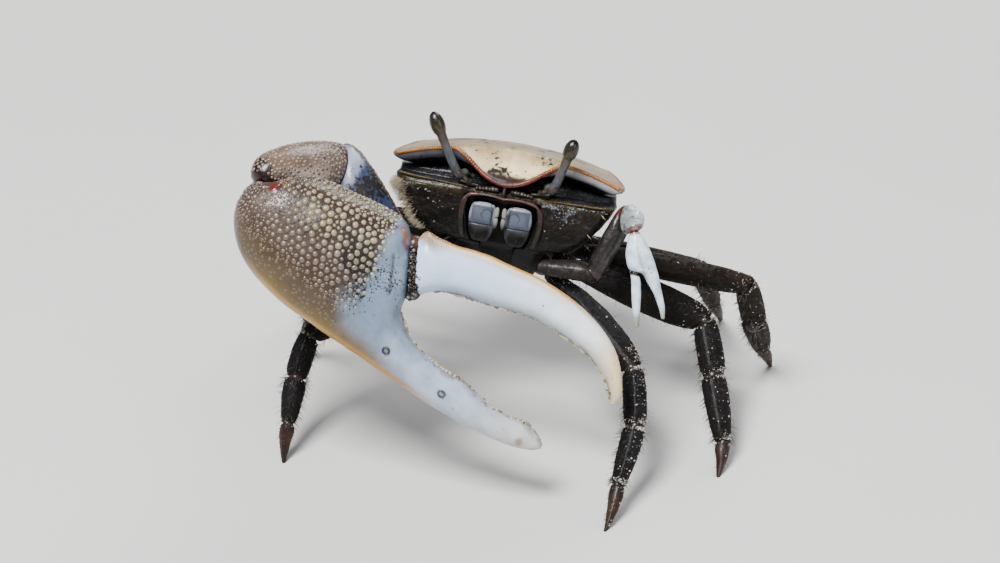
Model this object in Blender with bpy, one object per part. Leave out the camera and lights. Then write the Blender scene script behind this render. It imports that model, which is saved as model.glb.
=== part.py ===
"""A male fiddler crab at life size, standing with its great claw held low across the front.

The crab faces -Y, its left side is +X and +Z is up. Sizes are in millimetres here and
are scaled to metres as each mesh is made. The origin is on the floor, below the middle
of the crab's box.
"""

import math
import random

import bmesh
import bpy
from mathutils import Euler, Matrix, Vector

MM = 0.001
JOINT_GAP = 0.3
SHARP_DEG = 50.0

# Stance: the body stands nose up and leans to its left, over a box centre on the floor.
BODY_HEIGHT = 31.5
NOSE_UP_DEG = 23.0
LEAN_DEG = 6.5
BOX_CENTRE = (1.0, -6.74)

# Carapace, in the body's own frame: x across, y backward, z up, zero at corner height.
OUTLINE = [
    (0.0, -9.8), (1.8, -9.6), (3.3, -9.3), (5.0, -8.9), (6.7, -8.6), (8.2, -8.3), (10.0, -8.0),
    (12.0, -7.8), (13.6, -7.7), (15.0, -7.6), (15.2, -5.6), (14.6, -3.0), (13.6, 0.0),
    (12.5, 3.0), (11.2, 6.0), (9.7, 8.8), (8.2, 10.2), (5.5, 10.7), (2.6, 10.8), (0.0, 10.8),
]
DOME_TOP = 3.0
DOME_MIDDLE_Y = 0.5
SIDE_FALL = 2.5
SIDE_FALL_AT = 14.5
FRONT_FALL = 0.4
REAR_FALL = 2.4
LOBE_DROP = 3.9
LOBE_HALF_WIDTH = 7.2
LOBE_START_Y = -6.0
LOBE_LENGTH = 3.8
LOBE_THINNING = 0.4
SHELL_EDGE = 1.0
SHELL_MIDDLE = 2.2

# Trunk below the carapace: half outline as shares of half width and of length.
TRUNK_OUTLINE = [
    (0.0, 0.0), (0.3, 0.0), (0.41, 0.0), (0.62, 0.01), (0.85, 0.03), (0.97, 0.07), (1.0, 0.16),
    (0.99, 0.3), (0.95, 0.48), (0.88, 0.66), (0.77, 0.82), (0.6, 0.95), (0.35, 1.0), (0.0, 1.0),
]
MOUTH_SHARE = 0.35
# Levels from the orbit's roof down: z in front, z behind, half width, front y, rear y, mouth recess.
TRUNK_LEVELS = [
    (-1.5, -1.2, 14.2, -6.2, 10.0, 0.0),
    (-2.4, -2.0, 14.3, -6.4, 10.0, 0.0),
    (-2.7, -2.3, 14.5, -8.5, 10.0, 0.0),
    (-3.2, -2.9, 14.3, -8.9, 9.9, 0.0),
    (-3.9, -3.4, 14.0, -9.0, 9.8, 0.0),
    (-4.2, -3.7, 13.8, -8.9, 9.7, 1.3),
    (-6.0, -4.4, 12.8, -8.7, 9.5, 1.3),
    (-8.4, -5.2, 11.2, -8.2, 9.1, 1.2),
    (-9.6, -5.8, 10.0, -7.7, 8.7, 0.8),
    (-9.9, -6.2, 6.4, -7.0, 7.9, 0.3),
    (-12.2, -8.6, 5.8, -6.5, 7.2, 0.0),
    (-14.0, -10.0, 5.0, -5.6, 6.2, 0.0),
    (-14.8, -10.6, 3.8, -4.2, 4.8, 0.0),
]

# Tail flap folded below the trunk: y, z and half width along its middle.
TAIL_PATH = [
    (11.0, -1.9, 4.4), (10.9, -3.6, 4.4), (10.3, -5.6, 4.2), (9.2, -7.6, 3.9), (8.2, -9.4, 3.6),
    (6.9, -11.0, 3.2), (5.0, -11.9, 2.8), (2.0, -13.2, 2.3), (-1.0, -14.5, 1.7), (-3.0, -15.4, 0.9),
]
TAIL_HALF_THICKNESS = 0.55

# Mouth plates: z, half width and half thickness of each, from the top edge down.
MOUTH_PLATE = [
    (-4.6, 1.0, 0.35), (-5.0, 1.5, 0.5), (-6.2, 1.75, 0.55), (-7.1, 1.6, 0.45), (-7.5, 1.62, 0.5),
    (-8.6, 1.5, 0.55), (-9.3, 1.0, 0.4),
]
MOUTH_PLATE_X = 2.35
MOUTH_PLATE_Y = -8.4
PALP = [(-4.9, 0.2), (-5.3, 0.3), (-6.1, 0.26), (-6.9, 0.3), (-7.4, 0.2)]
PALP_X = 0.48
PALP_Y = -9.65

# Eyestalks: socket, bend and tip of the right and the left one, then radii along each.
EYE_PATHS = {
    "right": [(-5.6, -7.1, -1.3), (-6.3, -8.6, -1.3), (-7.2, -9.7, 0.2), (-10.6, -10.5, 6.2)],
    "left": [(5.4, -7.1, -1.3), (6.0, -8.6, -1.4), (6.6, -9.8, -0.1), (8.1, -11.4, 5.7)],
}
STALK_RADIUS = 0.58
STALK_SHARE = 0.55
CORNEA_RADIUS = 0.95
FEELER_PATH = [(4.6, -9.2, -1.9), (5.0, -9.9, -1.7), (5.8, -10.6, -1.2), (6.9, -11.3, -0.7)]
FEELER_RADIUS = 0.27

# Legs: hip in the body's frame, then knee, wrist, ankle and foot in the stance, floor at z = 0.
HIPS = [(6.5, -3.5, -12.1), (6.3, -0.5, -10.9), (5.9, 2.5, -9.8), (5.3, 5.4, -8.8)]
LEGS = {
    "left_1": [(18.1, -19.5, 13.7), (19.2, -25.5, 8.7), (17.8, -31.8, 3.7), (16.8, -36.4, 0)],
    "left_2": [(26.2, -6.7, 13.7), (28.1, -11.9, 8.7), (30.1, -18.7, 2.9), (29.9, -22.2, 0)],
    "left_3": [(31.3, -3.5, 17.9), (32.6, -1.0, 10.9), (33.7, 3.3, 4.2), (34.8, 5.9, 0)],
    "left_4": [(25.0, 2.0, 16.9), (25.6, 6.2, 11.9), (26.3, 12.7, 5.0), (27.1, 17.3, 0)],
    "right_1": [(-24.5, -16.5, 13.2), (-25.8, -20.3, 8.9), (-26.2, -24.4, 4.4), (-26.4, -26.8, 0)],
    "right_2": [(-24.9, -9.0, 19.1), (-26.0, -6.4, 13.6), (-27.3, -2.8, 7.2), (-29.4, -1.0, 0)],
    "right_3": [(-31.0, 1.5, 18.0), (-31.2, 6.0, 12.3), (-29.8, 11.0, 4.8), (-28.0, 14.0, 0)],
    "right_4": [(-24.5, 9.0, 17.5), (-24.9, 13.3, 12.2), (-24.6, 19.0, 5.1), (-24.0, 23.0, 0)],
}
LEG_SCALE = {"1": 0.86, "2": 1.0, "3": 1.04, "4": 0.86}
# Leg pieces: share of the length, half height, half thickness and rise of the middle line.
THIGH = [
    (0.0, 1.15, 1.05, 0.0), (0.07, 1.35, 1.15, 0.0), (0.14, 1.3, 1.15, 0.0), (0.17, 1.05, 1.0, 0.0),
    (0.22, 1.35, 1.15, 0.05), (0.38, 2.0, 1.3, 0.25), (0.6, 2.45, 1.35, 0.35),
    (0.82, 2.35, 1.3, 0.25), (0.94, 1.95, 1.25, 0.1), (1.0, 1.5, 1.15, 0.0),
]
SHANK = [
    (0.0, 1.35, 1.1, 0.0), (0.12, 1.6, 1.25, 0.1), (0.45, 1.75, 1.3, 0.2), (0.85, 1.7, 1.3, 0.1),
    (1.0, 1.35, 1.15, 0.0),
]
PALM = [
    (0.0, 1.4, 1.15, 0.0), (0.1, 1.65, 1.25, 0.0), (0.45, 1.6, 1.2, 0.05), (0.85, 1.25, 1.05, 0.0),
    (1.0, 0.95, 0.85, 0.0),
]
TOE = [
    (0.0, 0.85, 0.75, 0.0), (0.15, 0.95, 0.8, 0.05), (0.45, 0.72, 0.65, 0.12),
    (0.8, 0.42, 0.4, 0.08), (1.0, 0.26, 0.26, 0.0),
]
LEG_SIDES = 8

# Claw arms: shoulder in the body's frame, then joints in the stance.
SHOULDER = (6.2, -6.9, -11.6)
MAJOR_ELBOWS = [(-12.0, -12.6, 24.0), (-21.4, -10.6, 35.3)]
MINOR_ELBOWS = [(12.0, -11.7, 22.9), (15.8, -8.8, 30.0)]
ARM_ROOT = [(0.0, 1.3, 1.2, 0.0), (0.35, 1.6, 1.5, 0.0), (0.8, 1.8, 1.7, 0.0), (1.0, 1.6, 1.5, 0.0)]
MAJOR_ARM = [
    (0.0, 2.0, 1.8, 0.0), (0.12, 2.4, 2.2, 0.0), (0.35, 3.1, 2.7, 0.0), (0.62, 3.7, 3.1, 0.0),
    (0.82, 3.9, 3.1, 0.0), (0.94, 3.5, 2.8, 0.0), (1.0, 2.8, 2.4, 0.0),
]
MAJOR_CARPUS = [
    (0.0, 2.7, 2.4, 0.0), (0.12, 3.1, 2.8, 0.3), (0.35, 3.4, 3.2, 0.8), (0.6, 3.1, 3.1, 1.3),
    (0.8, 2.3, 2.4, 1.5), (0.93, 1.5, 1.7, 1.0), (1.0, 1.0, 1.2, 0.2),
]
MINOR_ARM = [
    (0.0, 1.2, 1.1, 0.0), (0.15, 1.45, 1.2, 0.0), (0.5, 1.7, 1.3, 0.1), (0.85, 1.6, 1.3, 0.1),
    (1.0, 1.15, 1.0, 0.0),
]
MINOR_CARPUS = [
    (0.0, 1.0, 0.9, 0.0), (0.2, 1.5, 1.3, 0.2), (0.55, 1.75, 1.5, 0.4), (0.85, 1.3, 1.2, 0.2),
    (1.0, 0.8, 0.75, 0.0),
]
ARM_SIDES = 12
# Share by which the arm's end plane turns from the hand's wrist towards the arm's own run.
WRIST_TURN = 0.35

# Great claw's frame: x from wrist to finger tips, y up the palm, z out of its outer face.
CLAW_TURN_DEG = 8.0
CLAW_LEAN_DEG = 30.0
MAJOR_ORIGIN = (-29.9, -21.6, 35.7)
MAJOR_SLOPE_DEG = 40.0
MINOR_ORIGIN = (17.3, -11.7, 29.3)
MINOR_SLOPE_DEG = 80.8
# Stations: lower edge, upper edge, outer and inner half thickness, squareness, lean with z.
MAJOR_HAND = [
    ((-1.6, 1.2), (1.2, 2.6), 1.2, 1.4, 1.0, -0.55),
    ((-1.5, -0.5), (1.8, 3.4), 2.3, 1.5, 1.0, -0.5),
    ((-0.8, -2.9), (2.4, 5.1), 3.5, 1.7, 0.95, -0.3),
    ((0.6, -4.7), (3.3, 6.7), 4.4, 2.3, 0.9, -0.12),
    ((2.8, -6.2), (5.8, 7.9), 5.0, 3.5, 0.88, 0.0),
    ((6.4, -7.3), (9.4, 8.9), 5.4, 4.2, 0.86, 0.0),
    ((10.8, -7.7), (13.2, 9.9), 5.3, 4.4, 0.86, 0.0),
    ((15.0, -7.4), (16.2, 10.2), 4.8, 4.1, 0.8, 0.0),
    ((18.4, -7.1), (18.2, 9.0), 4.2, 3.7, 0.72, 0.0),
    ((20.3, -6.9), (20.2, 6.3), 3.8, 3.4, 0.7, 0.0),
    ((21.9, -6.7), (22.1, 3.3), 3.4, 3.0, 0.75, 0.0),
    ((23.6, -6.55), (23.1, 1.2), 3.0, 2.7, 0.85, 0.0),
    ((25.6, -6.4), (24.8, 0.0), 2.7, 2.4, 0.95, 0.0),
    ((28.3, -6.15), (27.2, -0.95), 2.45, 2.2, 1.0, 0.0),
    ((31.6, -5.8), (31.0, -1.15), 2.3, 2.05, 1.0, 0.0),
    ((35.0, -5.35), (34.7, -0.65), 2.2, 1.95, 1.0, 0.0),
    ((38.6, -4.75), (38.4, -0.65), 2.1, 1.85, 1.0, 0.0),
    ((42.0, -3.85), (41.6, -0.45), 1.9, 1.7, 1.0, 0.0),
    ((44.9, -2.85), (44.3, 0.45), 1.5, 1.35, 1.0, 0.0),
    ((46.8, -1.8), (46.2, 0.25), 0.95, 0.9, 1.0, 0.0),
    ((47.6, -0.9), (47.3, -0.1), 0.45, 0.45, 1.0, 0.0),
]
MAJOR_FINGER = [
    ((23.1, 3.9), (18.9, 9.7), 2.4, 2.1, 0.8, 0.0),
    ((23.7, 4.4), (19.2, 11.0), 2.8, 2.5, 0.85, 0.0),
    ((24.5, 5.5), (20.8, 11.3), 2.9, 2.6, 0.9, 0.0),
    ((26.2, 6.9), (23.4, 12.1), 2.8, 2.5, 0.95, 0.0),
    ((29.5, 8.2), (27.1, 13.7), 2.6, 2.3, 1.0, 0.0),
    ((32.9, 9.8), (30.8, 14.7), 2.45, 2.15, 1.0, 0.0),
    ((36.6, 11.2), (34.8, 15.8), 2.3, 2.0, 1.0, 0.0),
    ((40.2, 11.85), (39.3, 16.2), 2.15, 1.85, 1.0, 0.0),
    ((43.5, 12.1), (43.4, 15.85), 1.95, 1.7, 1.0, 0.0),
    ((46.1, 11.8), (46.8, 14.75), 1.7, 1.5, 1.0, 0.0),
    ((48.4, 11.0), (49.7, 12.7), 1.35, 1.2, 1.0, 0.0),
    ((49.9, 9.9), (51.2, 10.8), 0.95, 0.85, 1.0, 0.0),
    ((50.7, 9.2), (51.4, 9.5), 0.4, 0.4, 1.0, 0.0),
]
MINOR_HAND = [
    ((0.1, -0.65), (0.1, 0.65), 0.7, 0.7, 1.0, 0.0),
    ((1.2, -1.15), (1.0, 1.1), 1.05, 1.0, 1.0, 0.0),
    ((2.6, -1.6), (2.4, 1.55), 1.3, 1.2, 0.9, 0.0),
    ((4.1, -1.6), (4.2, 1.92), 1.35, 1.2, 0.85, 0.0),
    ((4.8, -1.2), (5.1, 2.05), 1.2, 1.1, 0.85, 0.0),
    ((5.4, 0.1), (6.1, 2.15), 0.95, 0.9, 0.9, 0.0),
    ((6.7, 0.6), (7.2, 2.2), 0.75, 0.7, 1.0, 0.0),
    ((8.2, 1.15), (8.6, 2.25), 0.6, 0.55, 1.0, 0.0),
    ((10.2, 1.5), (10.3, 2.25), 0.42, 0.4, 1.0, 0.0),
    ((11.4, 1.6), (11.5, 2.0), 0.26, 0.26, 1.0, 0.0),
]
MINOR_FINGER = [
    ((5.3, -1.4), (5.75, -0.25), 0.55, 0.5, 0.9, 0.0),
    ((6.6, -1.5), (6.7, -0.3), 0.62, 0.55, 1.0, 0.0),
    ((8.5, -1.75), (8.5, -0.6), 0.55, 0.5, 1.0, 0.0),
    ((10.3, -1.9), (10.3, -1.0), 0.45, 0.42, 1.0, 0.0),
    ((11.6, -1.9), (11.6, -1.35), 0.35, 0.33, 1.0, 0.0),
    ((12.1, -1.78), (12.1, -1.5), 0.22, 0.22, 1.0, 0.0),
]
HAND_SIDES = 16
MINOR_SIDES = 10

# Knobs on the palm and teeth on the fingers of the great claw.
KNOB_ROWS = 9
KNOBS_IN_ROW = 9
KNOB_RADIUS = 0.78
TOOTH_RADIUS = 0.42
LOWER_TEETH = 13
UPPER_TEETH = 13
SEED = 7

# Colour, roughness and metallic value of each kind of surface.
FINISHES = {
    "carapace": ((0.55, 0.45, 0.3), 0.45, 0.0),
    "face": ((0.07, 0.055, 0.05), 0.5, 0.0),
    "belly": ((0.3, 0.26, 0.24), 0.5, 0.0),
    "mouth": ((0.45, 0.47, 0.58), 0.35, 0.0),
    "eyestalk": ((0.36, 0.36, 0.36), 0.4, 0.0),
    "cornea": ((0.06, 0.05, 0.03), 0.12, 0.0),
    "leg": ((0.05, 0.045, 0.05), 0.4, 0.0),
    "toe": ((0.16, 0.07, 0.05), 0.45, 0.0),
    "arm": ((0.3, 0.31, 0.4), 0.45, 0.0),
    "carpus": ((0.36, 0.27, 0.24), 0.45, 0.0),
    "great_palm": ((0.5, 0.42, 0.38), 0.4, 0.0),
    "white_claw": ((0.78, 0.79, 0.83), 0.35, 0.0),
}


def clear_scene():
    for item in list(bpy.data.objects):
        bpy.data.objects.remove(item, do_unlink=True)


def make_frame(name, location, rotation, parent):
    frame = bpy.data.objects.new(name, None)
    bpy.context.scene.collection.objects.link(frame)
    frame.location = Vector(location) * MM
    frame.rotation_euler = rotation
    frame.parent = parent
    return frame


def make_material(name, finish):
    colour, roughness, metallic = FINISHES[finish]
    material = bpy.data.materials.new(name)
    material.use_nodes = True
    shader = material.node_tree.nodes["Principled BSDF"]
    shader.inputs["Base Color"].default_value = (*colour, 1.0)
    shader.inputs["Roughness"].default_value = roughness
    shader.inputs["Metallic"].default_value = metallic
    return material


def add_object(name, shape, finish, parent, origin=(0.0, 0.0, 0.0)):
    """Turns a bmesh in millimetres into an object whose origin lies at the given point."""
    bmesh.ops.recalc_face_normals(shape, faces=shape.faces)
    bmesh.ops.translate(shape, verts=shape.verts, vec=-Vector(origin))
    bmesh.ops.scale(shape, verts=shape.verts, vec=(MM, MM, MM))
    mesh = bpy.data.meshes.new(name)
    shape.to_mesh(mesh)
    shape.free()
    mesh.shade_smooth()
    mesh.set_sharp_from_angle(angle=math.radians(SHARP_DEG))
    mesh.materials.append(make_material(name, finish))
    item = bpy.data.objects.new(name, mesh)
    item.location = Vector(origin) * MM
    item.parent = parent
    bpy.context.scene.collection.objects.link(item)
    return item


def loft(rings):
    """Closed solid that runs through rings of equally many points, capped at both ends."""
    shape = bmesh.new()
    order = shape.verts.layers.int.new("order")
    start = bmesh.ops.create_circle(shape, cap_ends=True, segments=len(rings[0]), radius=1.0)
    for number, vertex in enumerate(start["verts"]):
        vertex[order] = number
        vertex.co = rings[0][number]
    cap = shape.faces[:][0]
    for ring in rings[1:]:
        grown = bmesh.ops.extrude_face_region(shape, geom=[cap], use_keep_orig=True)["geom"]
        cap_before = cap
        cap = next(part for part in grown if isinstance(part, bmesh.types.BMFace))
        if ring is not rings[1]:
            shape.faces.remove(cap_before)
        for vertex in cap.verts:
            vertex.co = ring[vertex[order]]
    return shape


def around(sides):
    """Angles of a ring's points, starting at the top."""
    return [2.0 * math.pi * number / sides for number in range(sides)]


def signed_power(value, power):
    return math.copysign(abs(value) ** power, value)


def smooth_step(value):
    value = min(1.0, max(0.0, value))
    return value * value * (3.0 - 2.0 * value)


def lobe_share(x, y):
    """How far the front lobe has bent down at a point, from 0 to 1."""
    lobe = max(0.0, 1.0 - (x / LOBE_HALF_WIDTH) ** 2) ** 1.3
    return lobe * smooth_step((LOBE_START_Y - y) / LOBE_LENGTH)


def dome_height(x, y):
    """Height of the carapace's upper face in the body's frame."""
    side = SIDE_FALL * (abs(x) / SIDE_FALL_AT) ** 2.2
    if y < DOME_MIDDLE_Y:
        length = FRONT_FALL * ((DOME_MIDDLE_Y - y) / 9.0) ** 2
    else:
        length = REAR_FALL * ((y - DOME_MIDDLE_Y) / 10.3) ** 2
    return DOME_TOP - side - length - LOBE_DROP * lobe_share(x, y)


def mirrored(half):
    """Whole outline from its +X half, which starts and ends on the middle line."""
    return half + [(-x, y) for x, y in reversed(half[1:-1])]


def shell_ring(share, depth):
    """Carapace outline drawn in towards its middle, at a depth below the dome."""
    ring = []
    for x, y in mirrored(OUTLINE):
        x, y = x * share, DOME_MIDDLE_Y + (y - DOME_MIDDLE_Y) * share
        thin = 1.0 - LOBE_THINNING * lobe_share(x, y)
        ring.append(Vector((x, y, dome_height(x, y) - depth * thin)))
    return ring


def add_carapace(body):
    under = [shell_ring(share, SHELL_MIDDLE) for share in (0.25, 0.6)]
    edge = [
        shell_ring(0.9, SHELL_EDGE + 0.3),
        shell_ring(0.985, SHELL_EDGE),
        shell_ring(1.0, SHELL_EDGE - 0.3),
        shell_ring(1.0, 0.35),
        shell_ring(0.98, 0.0),
    ]
    top = [shell_ring(share, 0.0) for share in (0.92, 0.8, 0.62, 0.4, 0.15)]
    add_object("carapace", loft(under + edge + top), "carapace", body)


def trunk_ring(level, share=1.0):
    z_front, z_rear, half_width, front, rear, recess = level
    ring = []
    for across, along in mirrored(TRUNK_OUTLINE):
        y = front + (rear - front) * along
        if abs(across) < MOUTH_SHARE and along < 0.5:
            y += recess
        z = z_front + (z_rear - z_front) * along
        ring.append(Vector((across * half_width * share, y * share, z)))
    return ring


def trunk_roof(share):
    """Ring on the trunk's upper face, one joint gap below the carapace."""
    ring = trunk_ring(TRUNK_LEVELS[0], share)
    depth = SHELL_MIDDLE + JOINT_GAP
    for point in ring:
        point.z = min(dome_height(point.x, point.y), DOME_TOP) - depth
    return ring


def add_trunk(body):
    roof = [trunk_roof(share) for share in (0.25, 0.6, 0.86)]
    walls = [trunk_ring(level) for level in TRUNK_LEVELS]
    add_object("thorax", loft(roof + walls), "face", body)


def path_rings(points, radii, sides, across=None):
    """Rings square to a path; radii are (sideways, upward) at each point."""
    rings = []
    last = len(points) - 1
    for number, point in enumerate(points):
        ahead = points[min(number + 1, last)] - points[max(number - 1, 0)]
        side = (across or Vector((1.0, 0.0, 0.0))).copy()
        lift = side.cross(ahead).normalized()
        side = ahead.cross(lift).normalized()
        wide, high = radii[number]
        rings.append([
            point + side * wide * math.sin(angle) + lift * high * math.cos(angle)
            for angle in around(sides)
        ])
    return rings


def add_tail(body):
    points = [Vector((0.0, y, z)) for y, z, _ in TAIL_PATH]
    radii = [(width, TAIL_HALF_THICKNESS) for _, _, width in TAIL_PATH]
    add_object("abdomen", loft(path_rings(points, radii, 12)), "belly", body)


def add_mouth(body):
    for side, sign in (("right", -1.0), ("left", 1.0)):
        points = [Vector((sign * MOUTH_PLATE_X, MOUTH_PLATE_Y, z)) for z, _, _ in MOUTH_PLATE]
        radii = [(width, thickness) for _, width, thickness in MOUTH_PLATE]
        add_object(f"maxilliped_{side}", loft(path_rings(points, radii, 12)), "mouth", body)
        points = [Vector((sign * PALP_X, PALP_Y, z)) for z, _ in PALP]
        radii = [(radius, radius) for _, radius in PALP]
        add_object(f"palp_{side}", loft(path_rings(points, radii, 8)), "white_claw", body)


def cornea_radius(share):
    """Half width of the cornea along its length, rounded at the tip."""
    return CORNEA_RADIUS * math.sqrt(max(0.04, 1.0 - (1.75 * share - 0.75) ** 2))


def add_eyes(body):
    for side, places in EYE_PATHS.items():
        socket, bend, rise, tip = [Vector(place) for place in places]
        neck = rise.lerp(tip, STALK_SHARE)
        points = [socket, bend, rise, rise.lerp(neck, 0.5), neck]
        radii = [(STALK_RADIUS * swell,) * 2 for swell in (1.15, 1.1, 1.0, 0.95, 1.15)]
        add_object(f"eyestalk_{side}", loft(path_rings(points, radii, 10)), "eyestalk", body)
        start = neck + (tip - neck).normalized() * JOINT_GAP
        shares = (0.0, 0.12, 0.3, 0.5, 0.7, 0.85, 0.95, 1.0)
        points = [start.lerp(tip, share) for share in shares]
        radii = [(cornea_radius(share),) * 2 for share in shares]
        add_object(f"cornea_{side}", loft(path_rings(points, radii, 10)), "cornea", body)


def add_feelers(body):
    for side, sign in (("right", -1.0), ("left", 1.0)):
        points = [Vector((sign * x, y, z)) for x, y, z in FEELER_PATH]
        radii = [(FEELER_RADIUS * share,) * 2 for share in (1.2, 1.0, 0.9, 0.5)]
        add_object(f"antenna_{side}", loft(path_rings(points, radii, 6)), "face", body)


def limb_rings(ends, planes, profile, up, sides):
    """Rings of one limb piece between two joints, cut there on the joints' planes.

    Each plane is a normal along the limb; half a joint gap is left on both sides of it.
    """
    start, end = ends
    axis = (end - start).normalized()
    side = axis.cross(up).normalized()
    lift = side.cross(axis)
    cuts = [
        start + planes[0] * (JOINT_GAP / 2.0),
        end - planes[1] * (JOINT_GAP / 2.0) if planes[2] else end,
    ]
    rings = []
    for share, high, thick, rise in profile:
        ring = []
        for angle in around(sides):
            offset = lift * (high * math.cos(angle) + rise) + side * thick * math.sin(angle)
            reach = [
                (cut - start - offset).dot(plane) / axis.dot(plane)
                for cut, plane in zip(cuts, planes)
            ]
            ring.append(start + offset + axis * (reach[0] + share * (reach[1] - reach[0])))
        rings.append(ring)
    return rings


def chain_planes(joints, first, last):
    """Joint plane normals along a limb: the given end ones, and each bend's bisector."""
    runs = [(b - a).normalized() for a, b in zip(joints, joints[1:])]
    bends = [(a + b).normalized() for a, b in zip(runs, runs[1:])]
    return [first, *bends, last]


def add_limb(names, joints, planes, profiles, finishes, up, sides, rests, parent):
    """Pieces of one limb in a row; rests says that the last piece ends on the floor."""
    last = len(names) - 1
    for number, name in enumerate(names):
        ends = joints[number : number + 2]
        gapped = not (rests and number == last)
        rings = limb_rings(
            ends, (planes[number], planes[number + 1], gapped), profiles[number], up, sides
        )
        add_object(name, loft(rings), finishes[number], parent, ends[0])


def scaled(profile, scale):
    return [(share, high * scale, thick * scale, rise * scale) for share, high, thick, rise in profile]


def add_legs(crab, body_matrix):
    down = Vector((0.0, 0.0, -1.0))
    for leg, places in LEGS.items():
        side, number = leg.split("_")
        sign = 1.0 if side == "left" else -1.0
        x, y, z = HIPS[int(number) - 1]
        hip = body_matrix @ Vector((sign * x, y, z))
        joints = [hip] + [Vector(place) for place in places]
        outward = body_matrix.to_3x3() @ Vector((sign, 0.0, 0.0))
        planes = chain_planes(joints, outward, down)
        names = [f"leg_{leg}_{piece}" for piece in ("merus", "carpus", "propodus", "dactyl")]
        scale = LEG_SCALE[number]
        profiles = [scaled(profile, scale) for profile in (THIGH, SHANK, PALM)] + [TOE]
        finishes = ["leg", "leg", "leg", "toe"]
        bend_up = (joints[1] - joints[0]).normalized() - (joints[4] - joints[1]).normalized()
        add_limb(names, joints, planes, profiles, finishes, bend_up, LEG_SIDES, True, crab)


def blade_ring(station, sides):
    """Ring of a hand or finger between its lower and upper edge points."""
    lower, upper, outer, inner, square, lean = station
    low, high = Vector((*lower, 0.0)), Vector((*upper, 0.0))
    middle = (low + high) / 2.0
    reach = (high - low) / 2.0
    forward = Vector((reach.y, -reach.x, 0.0)).normalized()
    ring = []
    for angle in around(sides):
        along = signed_power(math.cos(angle), square)
        across = signed_power(math.sin(angle), square)
        z = across * (outer if across > 0.0 else inner)
        ring.append(middle + reach * along + Vector((0.0, 0.0, z)) + forward * lean * z)
    return ring


def between(rings, along, corner):
    """Point on a lofted surface at a fractional ring and a fractional corner."""
    row, column = int(along), int(corner)
    sides = len(rings[0])
    points = [
        rings[row + i][(column + j) % sides] for i in (0, 1) for j in (0, 1)
    ]
    first = points[0].lerp(points[1], corner - column)
    second = points[2].lerp(points[3], corner - column)
    return first.lerp(second, along - row)


def bead(centre, radius, parent):
    """Small low ball at a point of its parent's frame, to be fused with a claw."""
    shape = bmesh.new()
    bmesh.ops.create_icosphere(shape, subdivisions=1, radius=radius * MM)
    mesh = bpy.data.meshes.new("bead")
    shape.to_mesh(mesh)
    shape.free()
    item = bpy.data.objects.new("bead", mesh)
    item.location = centre * MM
    item.parent = parent
    return item


def keep_largest(mesh):
    """Leaves only the surface with the most faces."""
    shape = bmesh.new()
    shape.from_mesh(mesh)
    left = set(shape.faces)
    pieces = []
    while left:
        edge_of = [left.pop()]
        piece = set(edge_of)
        while edge_of:
            face = edge_of.pop()
            near = {other for edge in face.edges for other in edge.link_faces} & left
            left -= near
            piece |= near
            edge_of.extend(near)
        pieces.append(piece)
    pieces.sort(key=len)
    loose = [face for piece in pieces[:-1] for face in piece]
    bmesh.ops.delete(shape, geom=loose, context="FACES")
    shape.to_mesh(mesh)
    shape.free()


def fuse(item, beads):
    """Joins beads with an object by one union, and removes them."""
    group = bpy.data.collections.new(item.name + "_beads")
    bpy.context.scene.collection.children.link(group)
    for small in beads:
        group.objects.link(small)
    union = item.modifiers.new("union", "BOOLEAN")
    union.operand_type = "COLLECTION"
    union.collection = group
    union.operation = "UNION"
    union.solver = "EXACT"
    bpy.context.view_layer.update()
    graph = bpy.context.evaluated_depsgraph_get()
    joined = bpy.data.meshes.new_from_object(item.evaluated_get(graph))
    item.modifiers.clear()
    item.data = joined
    keep_largest(joined)
    joined.set_sharp_from_angle(angle=math.radians(SHARP_DEG))
    for small in beads:
        bpy.data.objects.remove(small, do_unlink=True)
    bpy.data.collections.remove(group)


def palm_knobs(rings, frame, draw):
    """Knobs in staggered rows over the palm's outer face, largest in the upper middle."""
    knobs = []
    for row in range(KNOB_ROWS):
        for number in range(KNOBS_IN_ROW):
            along = 3.2 + 5.4 * (number + 0.5 * (row % 2)) / KNOBS_IN_ROW
            corner = 0.6 + 4.6 * row / KNOB_ROWS
            centre = between(rings, along + draw.uniform(-0.12, 0.12), corner + draw.uniform(-0.1, 0.1))
            size = KNOB_RADIUS * (1.0 - 0.06 * abs(row - 3)) * draw.uniform(0.88, 1.1)
            inward = Vector((0.0, 0.0, -0.35 * size))
            knobs.append(bead(centre + inward, size, frame))
    return knobs


def finger_teeth(rings, first, last, corner, count, frame, draw):
    """Blunt teeth along one edge of a finger, between two rings."""
    teeth = []
    for number in range(count):
        along = first + (last - first) * (number + draw.uniform(-0.15, 0.15)) / (count - 1)
        along = min(max(along, first), last - 0.01)
        size = TOOTH_RADIUS * (1.3 if number % 4 == 2 else 1.0) * draw.uniform(0.85, 1.1)
        teeth.append(bead(between(rings, along, corner), size, frame))
    return teeth


def claw_frame(name, origin, slope, crab):
    turn = Matrix.Rotation(math.radians(CLAW_TURN_DEG), 3, "Z")
    lean = Matrix.Rotation(math.radians(90.0 - CLAW_LEAN_DEG), 3, "X")
    tip_down = Matrix.Rotation(-math.radians(slope), 3, "Z")
    return make_frame(name, origin, (turn @ lean @ tip_down).to_euler(), crab)


def wrist_of(frame, rings):
    """Wrist point and plane normal of a hand, in the stance."""
    ring = rings[0]
    middle = sum(ring, Vector()) / len(ring)
    quarter = len(ring) // 4
    normal = (ring[0] - ring[2 * quarter]).cross(ring[quarter] - ring[3 * quarter]).normalized()
    inside = sum(rings[1], Vector()) / len(ring) - middle
    if normal.dot(inside) < 0.0:
        normal.negate()
    turn = frame.rotation_euler.to_matrix()
    point = frame.location / MM + turn @ (middle - normal * JOINT_GAP / 2.0)
    return point, turn @ normal


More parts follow.
